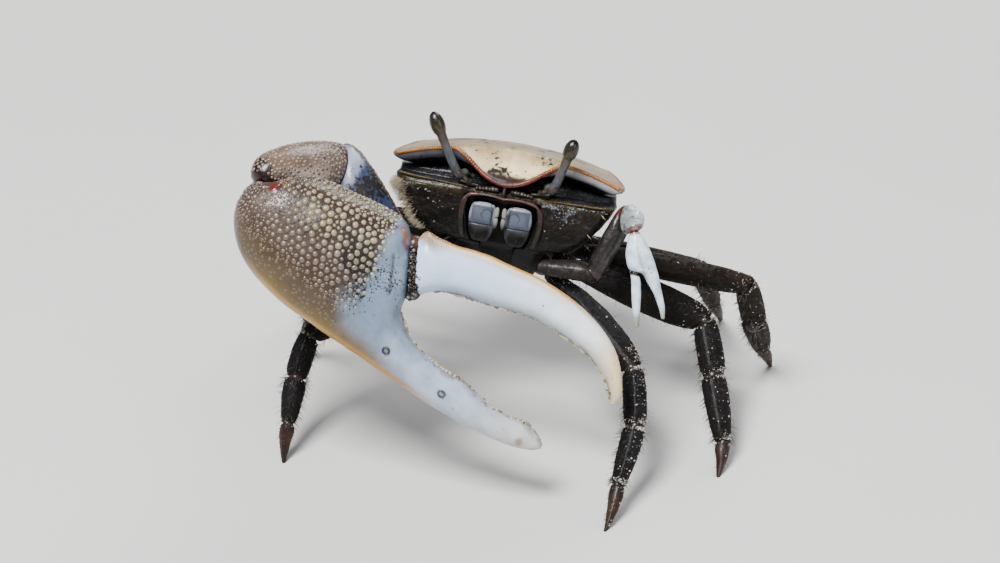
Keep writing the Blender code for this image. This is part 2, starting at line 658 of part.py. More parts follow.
def add_arm(side, kind, elbows, frame, rings, profiles, crab, body_matrix, sides):
    """Three arm pieces from the shoulder to a hand's wrist."""
    sign = 1.0 if side == "left" else -1.0
    x, y, z = SHOULDER
    shoulder = body_matrix @ Vector((sign * x, y, z))
    wrist, wrist_plane = wrist_of(frame, rings)
    joints = [shoulder] + [Vector(place) for place in elbows] + [wrist]
    outward = body_matrix.to_3x3() @ Vector((sign * 0.8, -0.6, 0.0))
    run = (joints[3] - joints[2]).normalized()
    planes = chain_planes(joints, outward, (wrist_plane + run * WRIST_TURN).normalized())
    names = [f"{kind}_claw_{piece}" for piece in ("ischium", "merus", "carpus")]
    finishes = ["face", "arm", "carpus" if kind == "major" else "white_claw"]
    up = frame.rotation_euler.to_matrix() @ Vector((-0.5, 0.75, -0.4))
    add_limb(names, joints, planes, profiles, finishes, up, sides, False, crab)


def add_major_claw(crab, body_matrix):
    frame = claw_frame("major_claw_frame", MAJOR_ORIGIN, MAJOR_SLOPE_DEG, crab)
    draw = random.Random(SEED)
    hand = [blade_ring(station, HAND_SIDES) for station in MAJOR_HAND]
    finger = [blade_ring(station, HAND_SIDES) for station in MAJOR_FINGER]
    palm = add_object("major_claw_propodus", loft(hand), "great_palm", frame)
    teeth = finger_teeth(hand, 12.0, 19.0, 0.0, LOWER_TEETH, frame, draw)
    fuse(palm, palm_knobs(hand, frame, draw) + teeth)
    dactyl = add_object("major_claw_dactyl", loft(finger), "white_claw", frame)
    half = HAND_SIDES / 2.0
    fuse(dactyl, finger_teeth(finger, 3.0, 11.0, half, UPPER_TEETH, frame, draw))
    profiles = [ARM_ROOT, MAJOR_ARM, MAJOR_CARPUS]
    add_arm("right", "major", MAJOR_ELBOWS, frame, hand, profiles, crab, body_matrix, ARM_SIDES)


def add_minor_claw(crab, body_matrix):
    frame = claw_frame("minor_claw_frame", MINOR_ORIGIN, MINOR_SLOPE_DEG, crab)
    hand = [blade_ring(station, MINOR_SIDES) for station in MINOR_HAND]
    finger = [blade_ring(station, MINOR_SIDES) for station in MINOR_FINGER]
    add_object("minor_claw_propodus", loft(hand), "white_claw", frame)
    add_object("minor_claw_dactyl", loft(finger), "white_claw", frame)
    root = scaled(ARM_ROOT, 0.75)
    profiles = [root, MINOR_ARM, MINOR_CARPUS]
    add_arm("left", "minor", MINOR_ELBOWS, frame, hand, profiles, crab, body_matrix, LEG_SIDES)


def build_crab():
    clear_scene()
    crab = make_frame("crab", (-BOX_CENTRE[0], -BOX_CENTRE[1], 0.0), Euler(), None)
    lean = Euler((-math.radians(NOSE_UP_DEG), math.radians(LEAN_DEG), 0.0))
    body = make_frame("body_frame", (0.0, 0.0, BODY_HEIGHT), lean, crab)
    body_matrix = Matrix.Translation((0.0, 0.0, BODY_HEIGHT)) @ lean.to_matrix().to_4x4()
    add_carapace(body)
    add_trunk(body)
    add_tail(body)
    add_mouth(body)
    add_eyes(body)
    add_feelers(body)
    add_legs(crab, body_matrix)
    add_major_claw(crab, body_matrix)
    add_minor_claw(crab, body_matrix)


build_crab()
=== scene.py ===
"""Looks of a male fiddler crab at life size, standing with its great claw low across the front.

The crab faces -Y and its left side is +X. Sizes are in millimetres in the frame of each body
part, and become metres when a piece is placed. Colours are painted on each surface from its
own shape, and every material adds mottling, mud and fine relief over that paint.
"""

import math
import random
from functools import cache, partial

import bmesh
import bpy
from mathutils import Euler, Matrix, Vector, noise
from mathutils.bvhtree import BVHTree


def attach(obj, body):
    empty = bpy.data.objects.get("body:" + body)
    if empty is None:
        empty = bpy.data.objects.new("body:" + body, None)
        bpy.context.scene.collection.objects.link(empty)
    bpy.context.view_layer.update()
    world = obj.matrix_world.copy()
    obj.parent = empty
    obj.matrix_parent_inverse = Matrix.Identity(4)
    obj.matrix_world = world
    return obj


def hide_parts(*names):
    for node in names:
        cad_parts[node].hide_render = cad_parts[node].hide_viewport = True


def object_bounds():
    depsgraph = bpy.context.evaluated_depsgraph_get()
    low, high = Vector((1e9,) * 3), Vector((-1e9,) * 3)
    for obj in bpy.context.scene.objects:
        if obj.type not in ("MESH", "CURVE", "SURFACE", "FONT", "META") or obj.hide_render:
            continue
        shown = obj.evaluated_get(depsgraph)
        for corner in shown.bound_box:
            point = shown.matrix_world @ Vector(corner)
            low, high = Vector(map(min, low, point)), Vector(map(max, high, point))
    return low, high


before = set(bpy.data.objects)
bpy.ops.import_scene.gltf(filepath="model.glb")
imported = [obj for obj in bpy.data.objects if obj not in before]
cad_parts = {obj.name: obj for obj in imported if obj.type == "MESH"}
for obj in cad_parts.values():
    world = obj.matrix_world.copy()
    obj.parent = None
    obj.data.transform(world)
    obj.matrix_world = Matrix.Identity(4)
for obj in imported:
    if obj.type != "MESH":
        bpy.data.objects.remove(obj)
solid_box = [list(corner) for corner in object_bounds()]

MM = 0.001
GAP = 0.3
END_ROWS = 3
BRISTLE_WIDTH = 0.04
UP = Vector((0, 0, 1))
SIDES = {"right": -1, "left": 1}
DRAW = random.Random(11)

# Stance.
STANCE = Matrix.Translation((-1, 6.74, 0))
BODY_TILT = Euler((math.radians(-23), math.radians(6.5), 0))
BODY_IN_STANCE = Matrix.Translation((0, 0, 31.5)) @ BODY_TILT.to_matrix().to_4x4()
BODY = STANCE @ BODY_IN_STANCE


# What a surface value looks like under the studio lamps: shown value and surface value.
TONES = [
    (0, 0), (36, 0.0015), (45, 0.004), (56, 0.01), (73, 0.02), (98, 0.04), (130, 0.08), (161, 0.15),
    (182, 0.25), (198, 0.4), (210, 0.6), (218, 0.8), (226, 0.92), (255, 1),
]


def surface_value(shown):
    for (low, first), (high, second) in zip(TONES, TONES[1:]):
        if shown <= high:
            return first + (second - first) * (shown - low) / (high - low)
    return 1


@cache
def swatch(red, green, blue):
    """Surface colour that looks like a colour picker's values under the studio lamps."""
    colour = Vector([surface_value(value) for value in (red, green, blue)])
    if red > green > blue:
        golden = min(1, max(0, ((green - blue) / (red - blue) - 0.2) / 0.25))
        colour.y += 0.3 * golden * (colour.x - colour.y) * (1 - colour.z / colour.x)
    return colour


def surface(colour):
    """A colour's surface value; a tuple holds a colour picker's values, a Vector a surface value."""
    return swatch(*colour) if isinstance(colour, tuple) else colour


# Colours, as a colour picker shows them under the studio lamps.
CREAM = (206, 192, 150)
CREAM_WHITE = (218, 210, 194)
BROWN = (112, 84, 58)
EDGE_ORANGE = (184, 108, 58)
MUD = (50, 44, 40)
FACE_BROWN = (56, 51, 48)
ORBIT_BLUE = (60, 64, 72)
LAVENDER = (136, 140, 156)
GOLD = (118, 94, 56)
CLAW_CREAM = (216, 208, 194)
MAUVE = (140, 121, 113)
LEG_DARK = (34, 32, 34)
# Lighter slate for the legs: a painted sheen on their upper faces, and the pale side of their own mottling.
LEG_SLATE_SHEEN = (54, 54, 62)
TOE_RED = (70, 46, 40)
OLIVE = (82, 72, 52)
STALK_GREY = (126, 130, 134)


def blend(first, second, share):
    return surface(first).lerp(surface(second), min(1, max(0, share)))


def coats(tint, *layers):
    """Blends colours over a tint one after another, each by its own share."""
    for colour, share in layers:
        tint = blend(tint, colour, share)
    return tint


def step(low, high, value):
    """Smooth change from 0 at low to 1 at high."""
    share = min(1, max(0, (value - low) / (high - low)))
    return share * share * (3 - 2 * share)


def peak(distance, width):
    """Bell curve: 1 at no distance, fading over the width."""
    return math.exp(-((distance / width) ** 2))


def clouds(point, size):
    """Soft random value from about -1 to 1."""
    return noise.noise(point / size)


def signed_power(value, power):
    return math.copysign(abs(value) ** power, value)


def around(sides):
    return [2 * math.pi * number / sides for number in range(sides)]


def jitter(reach):
    return Vector([DRAW.uniform(-reach, reach) for _ in range(3)])


def line_distance(x, y, start, end):
    """Distance of a point from the straight stretch between two others."""
    run_x, run_y = end[0] - start[0], end[1] - start[1]
    share = ((x - start[0]) * run_x + (y - start[1]) * run_y) / (run_x ** 2 + run_y ** 2)
    share = min(1, max(0, share))
    return math.hypot(x - start[0] - run_x * share, y - start[1] - run_y * share)


def share_along(point, start, axis):
    return (point - start).dot(axis) / axis.length_squared


# Surfaces: rings of points, smoothed and joined into closed shells.


def curve_point(points, place, closed):
    """Point on a smooth curve through points."""
    count = len(points)
    start = int(place)
    share = place - start
    near = []
    for offset in (-1, 0, 1, 2):
        number = start + offset
        near.append(points[number % count] if closed else points[min(max(number, 0), count - 1)])
    a, b, c, d = near
    return 0.5 * (
        2 * b
        + (c - a) * share
        + (2 * a - 5 * b + 4 * c - d) * share ** 2
        + (3 * b - a - 3 * c + d) * share ** 3
    )


def mirrored_curve(half, sides):
    """Points of a smooth closed curve of which the +X half is given."""
    half = [Vector((x, y, 0)) for x, y in half]
    whole = half + [Vector((-point.x, point.y, 0)) for point in reversed(half[1:-1])]
    return [curve_point(whole, len(whole) * number / sides, True) for number in range(sides)]


def oval(centre, half_width, half_depth, sides, power=1):
    """Level ring round a centre, squarer for a power under 1."""
    return [
        centre + Vector((
            half_width * signed_power(math.sin(angle), power),
            -half_depth * signed_power(math.cos(angle), power),
            0,
        ))
        for angle in around(sides)
    ]


def drawn_in(ring, share):
    """Moves a ring's points towards its middle by a share of their distance."""
    middle = centre_of(ring)
    for point in ring:
        point -= (point - middle) * share


def finer(rings, rows, sides):
    """The same surface with more rings and more points in each."""
    count = len(rings[0])
    rings = [
        [curve_point(ring, count * number / sides, True) for number in range(sides)] for ring in rings
    ]
    last = len(rings) - 1
    result = []
    for row in range(rows):
        place = min(last * row / (rows - 1), last - 1e-6)
        start = int(place)
        around_it = [rings[min(max(start + offset, 0), last)] for offset in (-1, 0, 1, 2)]
        result.append([
            curve_point([ring[side] for ring in around_it], 1 + place - start, False)
            for side in range(sides)
        ])
    return result


def centre_of(ring):
    return sum(ring, Vector()) / len(ring)


def rounded_ends(rings, first, last):
    """Adds rings that draw each end in to a dome of the given height; a flat end has none."""
    result = list(rings)
    for end, inner, place, bulge in ((0, 2, "start", first), (-1, -3, "end", last)):
        if not bulge:
            continue
        middle = centre_of(rings[end])
        out = (middle - centre_of(rings[inner])).normalized() * bulge
        for share, lift in ((0.94, 0.35), (0.75, 0.75), (0.4, 1)):
            ring = [middle + (point - middle) * share + out * lift for point in rings[end]]
            if place == "start":
                result.insert(0, ring)
            else:
                result.append(ring)
    return result


def loft(rings):
    """Closed solid through rings of equally many points, capped at both ends."""
    shape = bmesh.new()
    order = shape.verts.layers.int.new("order")
    start = bmesh.ops.create_circle(shape, cap_ends=True, segments=len(rings[0]), radius=1)
    for number, vertex in enumerate(start["verts"]):
        vertex[order] = number
        vertex.co = rings[0][number]
    cap = shape.faces[:][0]
    for number, ring in enumerate(rings[1:]):
        grown = bmesh.ops.extrude_face_region(shape, geom=[cap], use_keep_orig=True)["geom"]
        before = cap
        cap = next(part for part in grown if isinstance(part, bmesh.types.BMFace))
        if number:
            shape.faces.remove(before)
        for vertex in cap.verts:
            vertex.co = ring[vertex[order]]
    return shape


class Skin:
    """A lofted surface that gives its points and the way out of it there."""

    def __init__(self, rings):
        self.rings = rings
        self.middles = [centre_of(ring) for ring in rings]

    def row_at(self, share):
        """Row at a share of the length between the rounded ends."""
        return END_ROWS + share * (len(self.rings) - 1 - 2 * END_ROWS)

    def at(self, along, corner):
        rings, last = self.rings, len(self.rings) - 1
        along = min(max(along, 0), last - 1e-4)
        row, sides = int(along), len(rings[0])
        corner %= sides
        column = int(corner)
        after = (column + 1) % sides
        first = rings[row][column].lerp(rings[row][after], corner - column)
        second = rings[row + 1][column].lerp(rings[row + 1][after], corner - column)
        point = first.lerp(second, along - row)
        middle = self.middles[row].lerp(self.middles[row + 1], along - row)
        out = (rings[row][after] - rings[row][column]).cross(second - first)
        if out.length < 1e-9:
            return point, (point - middle).normalized()
        out.normalize()
        return point, out if out.dot(point - middle) > 0 else -out


class Shape:
    """A mesh under work with its paint and dirt layers; rows of small parts are kept in batches."""

    def __init__(self, mesh=None, coat=False):
        self.mesh = mesh or bmesh.new()
        self.coat = coat
        self.batches = []
        self.add_layers()

    def add_layers(self):
        self.paint = self.mesh.verts.layers.float_color.new("paint")
        self.dirt = self.mesh.verts.layers.float.new("dirt")
        self.coat_map = self.mesh.loops.layers.uv.new("OFBake") if self.coat else None

    def colour(self, vertex, tint, dirt=0):
        vertex[self.paint] = (*surface(tint), 1)
        vertex[self.dirt] = dirt

    def start_batch(self):
        """Sets the small parts made so far aside once there are many, so that each new one is quick."""
        if len(self.mesh.verts) > 1500:
            data = bpy.data.meshes.new("batch")
            self.mesh.to_mesh(data)
            self.batches.append(data)
            self.mesh.clear()
            self.add_layers()

    def gather(self):
        """Brings all batches back together."""
        for data in self.batches:
            self.mesh.from_mesh(data)
            bpy.data.meshes.remove(data)
        self.batches = []


def painted(mesh, paint):
    """Paints a mesh; paint gives a point's colour and dirt from its place and normal."""
    shape = Shape(mesh)
    bmesh.ops.recalc_face_normals(mesh, faces=mesh.faces)
    mesh.normal_update()
    for vertex in mesh.verts:
        shape.colour(vertex, *paint(vertex.co, vertex.normal))
    return shape


def place_piece(name, shape, matrix, material, nodes=()):
    """Turns a shape into a piece of the crab that stands for the given solids."""
    shape.gather()
    mesh = shape.mesh
    bmesh.ops.transform(mesh, matrix=Matrix.Scale(MM, 4) @ matrix, verts=mesh.verts)
    data = bpy.data.meshes.new(name)
    mesh.to_mesh(data)
    mesh.free()
    data.shade_smooth()
    data.materials.append(material)
    item = bpy.data.objects.new(name, data)
    bpy.context.scene.collection.objects.link(item)
    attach(item, "root")
    if nodes:
        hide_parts(*nodes)
    return item


def turned_to(normal):
    return normal.to_track_quat("Z", "Y").to_matrix().to_4x4()


def pebble(shape, place, normal, size, low, detail, tint, foot, dirt=0):
    """Low rounded granule, darker at its foot."""
    shape.start_batch()
    stretch = DRAW.uniform(0.9, 1.12)
    matrix = (
        Matrix.Translation(place)
        @ turned_to(normal)
        @ Matrix.Rotation(DRAW.uniform(0, math.pi), 4, "Z")
        @ Matrix.Diagonal((size * stretch, size / stretch, size * low, 1))
    )
    made = bmesh.ops.create_icosphere(shape.mesh, subdivisions=detail, radius=1, matrix=matrix)
    for vertex in made["verts"]:
        height = (vertex.co - place).dot(normal) / (size * low)
        shape.colour(vertex, blend(foot, tint, step(-0.05, 0.62, height)), dirt)


def grain(shape, place, normal, size, tint):
    """Small angular grain stuck to a surface."""
    shape.start_batch()
    turn = Euler([DRAW.uniform(0, 3) for _ in range(3)]).to_matrix().to_4x4()
    sizes = [size * DRAW.uniform(0.6, 1.15) for _ in range(3)]
    matrix = Matrix.Translation(place + normal * size * 0.25) @ turn @ Matrix.Diagonal((*sizes, 1))
    made = bmesh.ops.create_icosphere(shape.mesh, subdivisions=1, radius=1, matrix=matrix)
    for vertex in made["verts"]:
        vertex.co += jitter(0.2) * size
        shape.colour(vertex, tint)


def hair(shape, root, way, length, width, tint, patch):
    """One tapered bristle, rooted just under the shell; patch is its place on the coat's own map."""
    shape.start_batch()
    matrix = Matrix.Translation(root + way * (length / 2 - 0.05)) @ turned_to(way)
    made = bmesh.ops.create_cone(
        shape.mesh, cap_ends=True, cap_tris=True, segments=3, radius1=width, radius2=width * 0.2,
        depth=length, matrix=matrix,
    )
    for number, vertex in enumerate(made["verts"]):
        shape.colour(vertex, tint)
        lift = (vertex.co - root).dot(way) / length
        for loop in vertex.link_loops:
            loop[shape.coat_map].uv = (patch[0] + 0.003 * lift, patch[1] + 0.0015 * (number % 3))


def tube(points, radii, sides, rows):
    """Rings along a bent path; radii are (sideways, upward) at each point."""
    rings = []
    last = len(points) - 1
    for number, point in enumerate(points):
        ahead = points[min(number + 1, last)] - points[max(number - 1, 0)]
        side = Vector((1, 0, 0)) if abs(ahead.normalized().x) < 0.8 else Vector((0, 1, 0))
        lift = side.cross(ahead).normalized()
        side = ahead.cross(lift).normalized()
        wide, high = radii[number]
        rings.append([
            point + side * wide * math.sin(angle) + lift * high * math.cos(angle)
            for angle in around(sides)
        ])
    bulge = 0.3 * min(radii[-1])
    return rounded_ends(finer(rings, rows, sides), bulge, bulge)


# Materials.


class Nodes:
    """Short hand for a material's node tree."""

    def __init__(self, name):
        self.material = bpy.data.materials.new(name)
        self.material.use_nodes = True
        self.tree = self.material.node_tree
        self.shader = self.tree.nodes["Principled BSDF"]
        self.place = self.tree.nodes.new("ShaderNodeTexCoord").outputs["Object"]

    def put(self, socket, value):
        if isinstance(value, bpy.types.NodeSocket):
            self.tree.links.new(value, socket)
        elif isinstance(value, (tuple, Vector)):
            socket.default_value = (*surface(value), 1)
        else:
            socket.default_value = value

    def set_shader(self, values):
        for name, value in values.items():
            self.put(self.shader.inputs[name], value)

    def attribute(self, name, output):
        node = self.tree.nodes.new("ShaderNodeAttribute")
        node.attribute_name = name
        return node.outputs[output]

    def noise(self, size, detail=4):
        """Cloudy value from 0 to 1 with features of a size in millimetres."""
        node = self.tree.nodes.new("ShaderNodeTexNoise")
        node.inputs["Scale"].default_value = 1 / (size * MM)
        node.inputs["Detail"].default_value = detail
        self.put(node.inputs["Vector"], self.place)
        return node.outputs["Fac"]

    def cells(self, size, output):
        node = self.tree.nodes.new("ShaderNodeTexVoronoi")
        node.inputs["Scale"].default_value = 1 / (size * MM)
        self.put(node.inputs["Vector"], self.place)
        return node.outputs[output]

    def math(self, operation, *values):
        node = self.tree.nodes.new("ShaderNodeMath")
        node.operation = operation
        for socket, value in zip(node.inputs, values):
            self.put(socket, value)
        return node.outputs[0]

    def ramp(self, value, low, high, out_low=0, out_high=1):
        node = self.tree.nodes.new("ShaderNodeMapRange")
        node.interpolation_type = "SMOOTHSTEP"
        for socket, number in zip(node.inputs, (value, low, high, out_low, out_high)):
            self.put(socket, number)
        return node.outputs[0]

    def mix(self, share, first, second, way="MIX"):
        node = self.tree.nodes.new("ShaderNodeMix")
        node.data_type = "RGBA"
        node.blend_type = way
        for number, value in ((0, share), (6, first), (7, second)):
            self.put(node.inputs[number], value)
        return node.outputs[2]

    def bump(self, height, depth):
        """Fine relief of a depth in millimetres."""
        node = self.tree.nodes.new("ShaderNodeBump")
        node.inputs["Distance"].default_value = depth * MM
        node.inputs["Strength"].default_value = 1
        self.put(node.inputs["Height"], height)
        return node.outputs["Normal"]


def shell_material(
    name, rough, coat, grain_size, relief, mottle, speck=0, soft=0, glint=0.3, warm_share=0.5
):
    """Crab shell: painted colour with mottling, mud in the dirty places, pits and a worn gloss."""
    nodes = Nodes(name)
    paint = nodes.attribute("paint", "Color")
    dirt = nodes.attribute("dirt", "Fac")
    broad = nodes.noise(2.2, 5)
    fine = nodes.noise(grain_size, 3)
    lightness = nodes.ramp(broad, 0.25, 0.75, 1 - mottle, 1 + mottle * 0.6)
    brown = nodes.mix(1, paint, Vector((0.95, 0.72, 0.52)), "MULTIPLY")
    warm = nodes.mix(nodes.ramp(fine, 0.3, 0.7, 0, 2 * mottle * warm_share), paint, brown)
    toned = nodes.mix(1, warm, lightness, "MULTIPLY")
    patch = nodes.noise(0.55, 4)
    muddy = nodes.ramp(nodes.math("ADD", nodes.math("MULTIPLY", dirt, 0.75), patch), 0.72, 0.86)
    if speck:
        spots = nodes.cells(0.8, "Distance")
        chosen = nodes.math("GREATER_THAN", nodes.noise(1.6, 2), 1 - speck)
        dots = nodes.math("MULTIPLY", nodes.ramp(spots, 0.1, 0.2, 1, 0), chosen)
        muddy = nodes.math("MAXIMUM", muddy, nodes.math("MULTIPLY", dots, 0.8))
    gloss = nodes.ramp(broad, 0.2, 0.8, rough - 0.07, rough + 0.09)
    height = nodes.math("ADD", fine, nodes.math("MULTIPLY", muddy, 0.9))
    pits = nodes.ramp(nodes.cells(grain_size * 0.9, "Distance"), 0.05, 0.3)
    height = nodes.math("ADD", height, nodes.math("MULTIPLY", pits, 0.5))
    nodes.set_shader({
        "Base Color": nodes.mix(muddy, toned, MUD),
        "Roughness": nodes.math("ADD", gloss, nodes.math("MULTIPLY", muddy, 0.25)),
        "Specular IOR Level": glint,
        "Coat Weight": coat,
        "Coat Roughness": 0.14,
        "Subsurface Weight": soft,
        "Subsurface Radius": [1, 0.6, 0.4],
        "Subsurface Scale": 0.6 * MM,
        "Normal": nodes.bump(height, relief),
    })
    return nodes.material


def eye_material():
    """Dark olive cornea with its tiny facets under a wet gloss."""
    nodes = Nodes("eye_cornea")
    paint = nodes.attribute("paint", "Color")
    facets = nodes.cells(0.07, "Distance")
    shade = nodes.ramp(facets, 0, 0.6, 1.25, 0.7)
    mottled = nodes.mix(nodes.ramp(nodes.noise(0.5, 4), 0.35, 0.7, 0, 0.5), paint, (52, 46, 36))
    nodes.set_shader({
        "Base Color": nodes.mix(1, mottled, shade, "MULTIPLY"),
        "Roughness": nodes.ramp(nodes.noise(0.6), 0.3, 0.7, 0.16, 0.3),
        "Specular IOR Level": 0.3,
        "Coat Weight": 0.4,
        "Coat Roughness": 0.08,
        "Normal": nodes.bump(facets, 0.012),
    })
    return nodes.material


def grain_material():
    """Pale mineral grains."""
    nodes = Nodes("clinging_grains")
    paint = nodes.attribute("paint", "Color")
    shade = nodes.ramp(nodes.noise(0.25), 0.3, 0.7, 0.75, 1.15)
    nodes.set_shader({
        "Base Color": nodes.mix(1, paint, shade, "MULTIPLY"),
        "Roughness": nodes.ramp(nodes.noise(0.4), 0.3, 0.7, 0.2, 0.45),
        "Normal": nodes.bump(nodes.noise(0.1), 0.03),
    })
    return nodes.material


def bristle_material():
    """Pale bristles, browner where they are damp."""
    nodes = Nodes("bristles")
    paint = nodes.attribute("paint", "Color")
    damp = nodes.ramp(nodes.noise(1.2), 0.4, 0.65, 0, 0.5)
    nodes.set_shader({
        "Base Color": nodes.mix(damp, paint, (120, 96, 68)),
        "Roughness": nodes.ramp(nodes.noise(0.4), 0.3, 0.7, 0.45, 0.65),
        "Normal": nodes.bump(nodes.noise(0.06), 0.01),
    })
    return nodes.material


CARAPACE_SHELL = shell_material("carapace_shell", 0.36, 0.22, 0.32, 0.03, 0.2, speck=0.42, soft=0.04)
FACE_SHELL = shell_material("face_shell", 0.38, 0.14, 0.3, 0.09, 0.3, glint=0.15, warm_share=0.3)
BELLY_SHELL = shell_material("belly_shell", 0.45, 0.1, 0.35, 0.04, 0.3, glint=0.2)
MOUTH_SHELL = shell_material("mouth_plates", 0.34, 0.12, 0.25, 0.03, 0.16, glint=0.25)
STALK_SKIN = shell_material("eyestalk_skin", 0.34, 0.2, 0.22, 0.02, 0.2, warm_share=0.1)
LEG_SHELL = shell_material("leg_shell", 0.6, 0.03, 0.34, 0.16, 0.45, glint=0.13, warm_share=0.4)
TOE_SHELL = shell_material("toe_shell", 0.42, 0.1, 0.2, 0.04, 0.3, glint=0.2)
ARM_SHELL = shell_material("arm_shell", 0.34, 0.25, 0.3, 0.03, 0.2, warm_share=0.2)
CARPUS_SHELL = shell_material("carpus_shell", 0.32, 0.35, 0.28, 0.05, 0.25)
PALM_SHELL = shell_material("great_palm_shell", 0.32, 0.25, 0.3, 0.035, 0.14, speck=0.3, soft=0.05)
FINGER_SHELL = shell_material("white_finger_shell", 0.28, 0.25, 0.35, 0.012, 0.04, speck=0.4, soft=0.08)
PEARL_SHELL = shell_material("pearly_granules", 0.24, 0.45, 0.3, 0.015, 0.12, glint=0.5)
JOINT_SKIN = shell_material("joint_skin", 0.36, 0.3, 0.25, 0.05, 0.3)
EYE = eye_material()
GRAINS = grain_material()
BRISTLES = bristle_material()


# Carapace.

OUTLINE = [
    (0, -9.8), (1.8, -9.6), (3.3, -9.3), (5, -8.9), (6.7, -8.6), (8.2, -8.3), (10, -8),
    (12, -7.8), (13.6, -7.7), (15, -7.6), (15.2, -5.6), (14.6, -3), (13.6, 0),
    (12.5, 3), (11.2, 6), (9.7, 8.8), (8.2, 10.2), (5.5, 10.7), (2.6, 10.8), (0, 10.8),
]
SHELL_MIDDLE_Y = 0.5
SHELL_SIDES = 228
RIM_END_X, RIM_END_Y = 14.6, -7.3
# Grooves of the carapace: two ends, depth and half width of each, on the +X side.
GROOVES = [
    ((3.6, -3.4), (4.4, 0.6), 0.22, 0.5), ((4.4, 0.6), (3, 3.2), 0.26, 0.5),
    ((0, 2.6), (3, 2.9), 0.2, 0.45), ((3, 3.2), (3.6, 7.2), 0.18, 0.6),
    ((4.4, 0.6), (9.4, -2.2), 0.16, 0.6), ((0, -9), (0, -4.6), 0.14, 0.35),
]


def lobe_share(x, y):
    """How far the front lobe has bent down at a point."""
    lobe = max(0, 1 - (x / 7.2) ** 2) ** 1.3
    return lobe * step(0, 3.8, -6 - y)


def dome_height(x, y):
    side = 2.5 * (abs(x) / 14.5) ** 2.2
    length = 0.4 * ((0.5 - y) / 9) ** 2 if y < 0.5 else 2.4 * ((y - 0.5) / 10.3) ** 2
    return 3 - side - length - 3.9 * lobe_share(x, y)


def groove_depth(x, y):
    return max(
        depth * peak(line_distance(abs(x), y, start, end), half_width)
        for start, end, depth, half_width in GROOVES
    )


def add_carapace():
    edge = mirrored_curve(OUTLINE, SHELL_SIDES)

    def ring(share, depth, relief=1):
        points = []
        for point in edge:
            x = point.x * share
            y = SHELL_MIDDLE_Y + (point.y - SHELL_MIDDLE_Y) * share
            height = dome_height(x, y) - depth * (1 - 0.4 * lobe_share(x, y))
            if relief:
                height -= groove_depth(x, y) * relief
                height += 0.05 * clouds(Vector((x, y, 0)), 1.6)
                height += 0.1 * peak((1 - share) * 11 - 0.12, 0.16)
            points.append(Vector((x, y, height)))
        return points

    def turned_down(share, depth):
        """Ring of the brow band, which is deepest above each eye's socket."""
        points = []
        for point in ring(share, 0, 0):
            across = abs(point.x)
            brow = step(3.6, 7, across) * step(15.2, 13, across) * step(-5, -7, point.y)
            points.append(point - UP * depth * (0.62 + 0.75 * brow))
        return points

    under = [ring(share, 2.2, 0) for share in (0.25, 0.5, 0.7, 0.82)]
    under.append(ring(0.9, 1.5, 0))
    band = [turned_down(0.955, 1.15), turned_down(0.975, 1.02), turned_down(0.985, 0.85)]
    band += [turned_down(0.992, 0.6), turned_down(0.998, 0.34), ring(1, 0.18, 0), ring(1, 0.05, 0.6)]
    top = [ring(1 - 0.004 * number ** 1.25, 0, 1) for number in range(1, 84)]
    top.append(ring(0.02, 0))
    shape = loft(under + band + top)

    def paint(point, normal):
        x, y, z = point
        below = z - dome_height(x, y)
        lobe = lobe_share(x, y)
        if normal.z < 0.35:
            front = step(-5.5, -7.2, y)
            brow = front * step(-1.5, -0.5, below)
            return coats(
                (48, 45, 46),
                (LAVENDER, brow * (0.55 + 0.45 * step(-3, 6, x))),
                ((196, 196, 198), 0.6 * brow * step(4.5, 9, x)),
                ((64, 38, 34), step(4.4, 2.6, abs(x)) * front),
                (EDGE_ORANGE, step(-0.3, -0.05, below) * step(3, 5, abs(x))),
            ), 0.2
        edge_distance = (1 - max(
            abs(x) / (15.2 - 0.36 * max(0, y + 5)), (abs(y - 0.5)) / 10.3)) * 11
        patch = clouds(point, 3.4) + 0.5 * clouds(point, 1.1)
        tint = blend((164, 138, 100), CREAM, 0.3 + 0.35 * patch)
        centre = step(9.5, 3, abs(x)) * step(-3.5, -6.5, y + 0.8 * patch)
        tint = coats(
            tint,
            (CREAM_WHITE, 0.85 * centre),
            ((156, 124, 86), 0.7 * step(-8.4, -5.8, y + 0.12 * abs(x) + 0.9 * patch)),
            (BROWN, 0.55 * step(0.08, 0.24, groove_depth(x, y))),
            ((158, 96, 48), 0.8 * step(1.3, 0.3, edge_distance) * (1 - lobe)),
            (CREAM_WHITE, 0.5 * step(0.15, 0.6, lobe)),
            ((124, 92, 66), 0.5 * step(0.5, 0.8, lobe) * step(-0.1, 0.35, patch)),
        )
        tip = step(0.7, 0.84, lobe + 0.06 * patch) * step(5, 2.6, abs(x))
        tint = blend(tint, (72, 34, 30), tip)
        return tint, 0.1 + 0.2 * step(0, 0.6, patch) + 0.22 * step(0.45, 0.8, lobe)

    place_piece("carapace_shell", painted(shape, paint), BODY, CARAPACE_SHELL, ["carapace"])

    # Raised rim of the front: red-brown under the lobe, orange along the brows.
    rim = Shape()
    for point in edge:
        if point.y > RIM_END_Y or abs(point.x) > RIM_END_X:
            continue
        height = dome_height(point.x, point.y) - 0.12
        red = step(6.4, 4.6, abs(point.x))
        red_tint = blend((92, 38, 32), (146, 54, 40), step(1.2, 3, abs(point.x)))
        tint = blend(EDGE_ORANGE, red_tint, red * DRAW.uniform(0.8, 1))
        low = blend((126, 82, 50), (60, 30, 28), red)
        place = Vector((point.x, point.y - 0.02, height - 0.1 * red))
        pebble(rim, place, Vector((0, -0.95, 0.3)), 0.27 + 0.06 * red, 0.6, 2, tint, low)
    place_piece("front_rim", rim, BODY, JOINT_SKIN)


# Trunk, face and mouth.

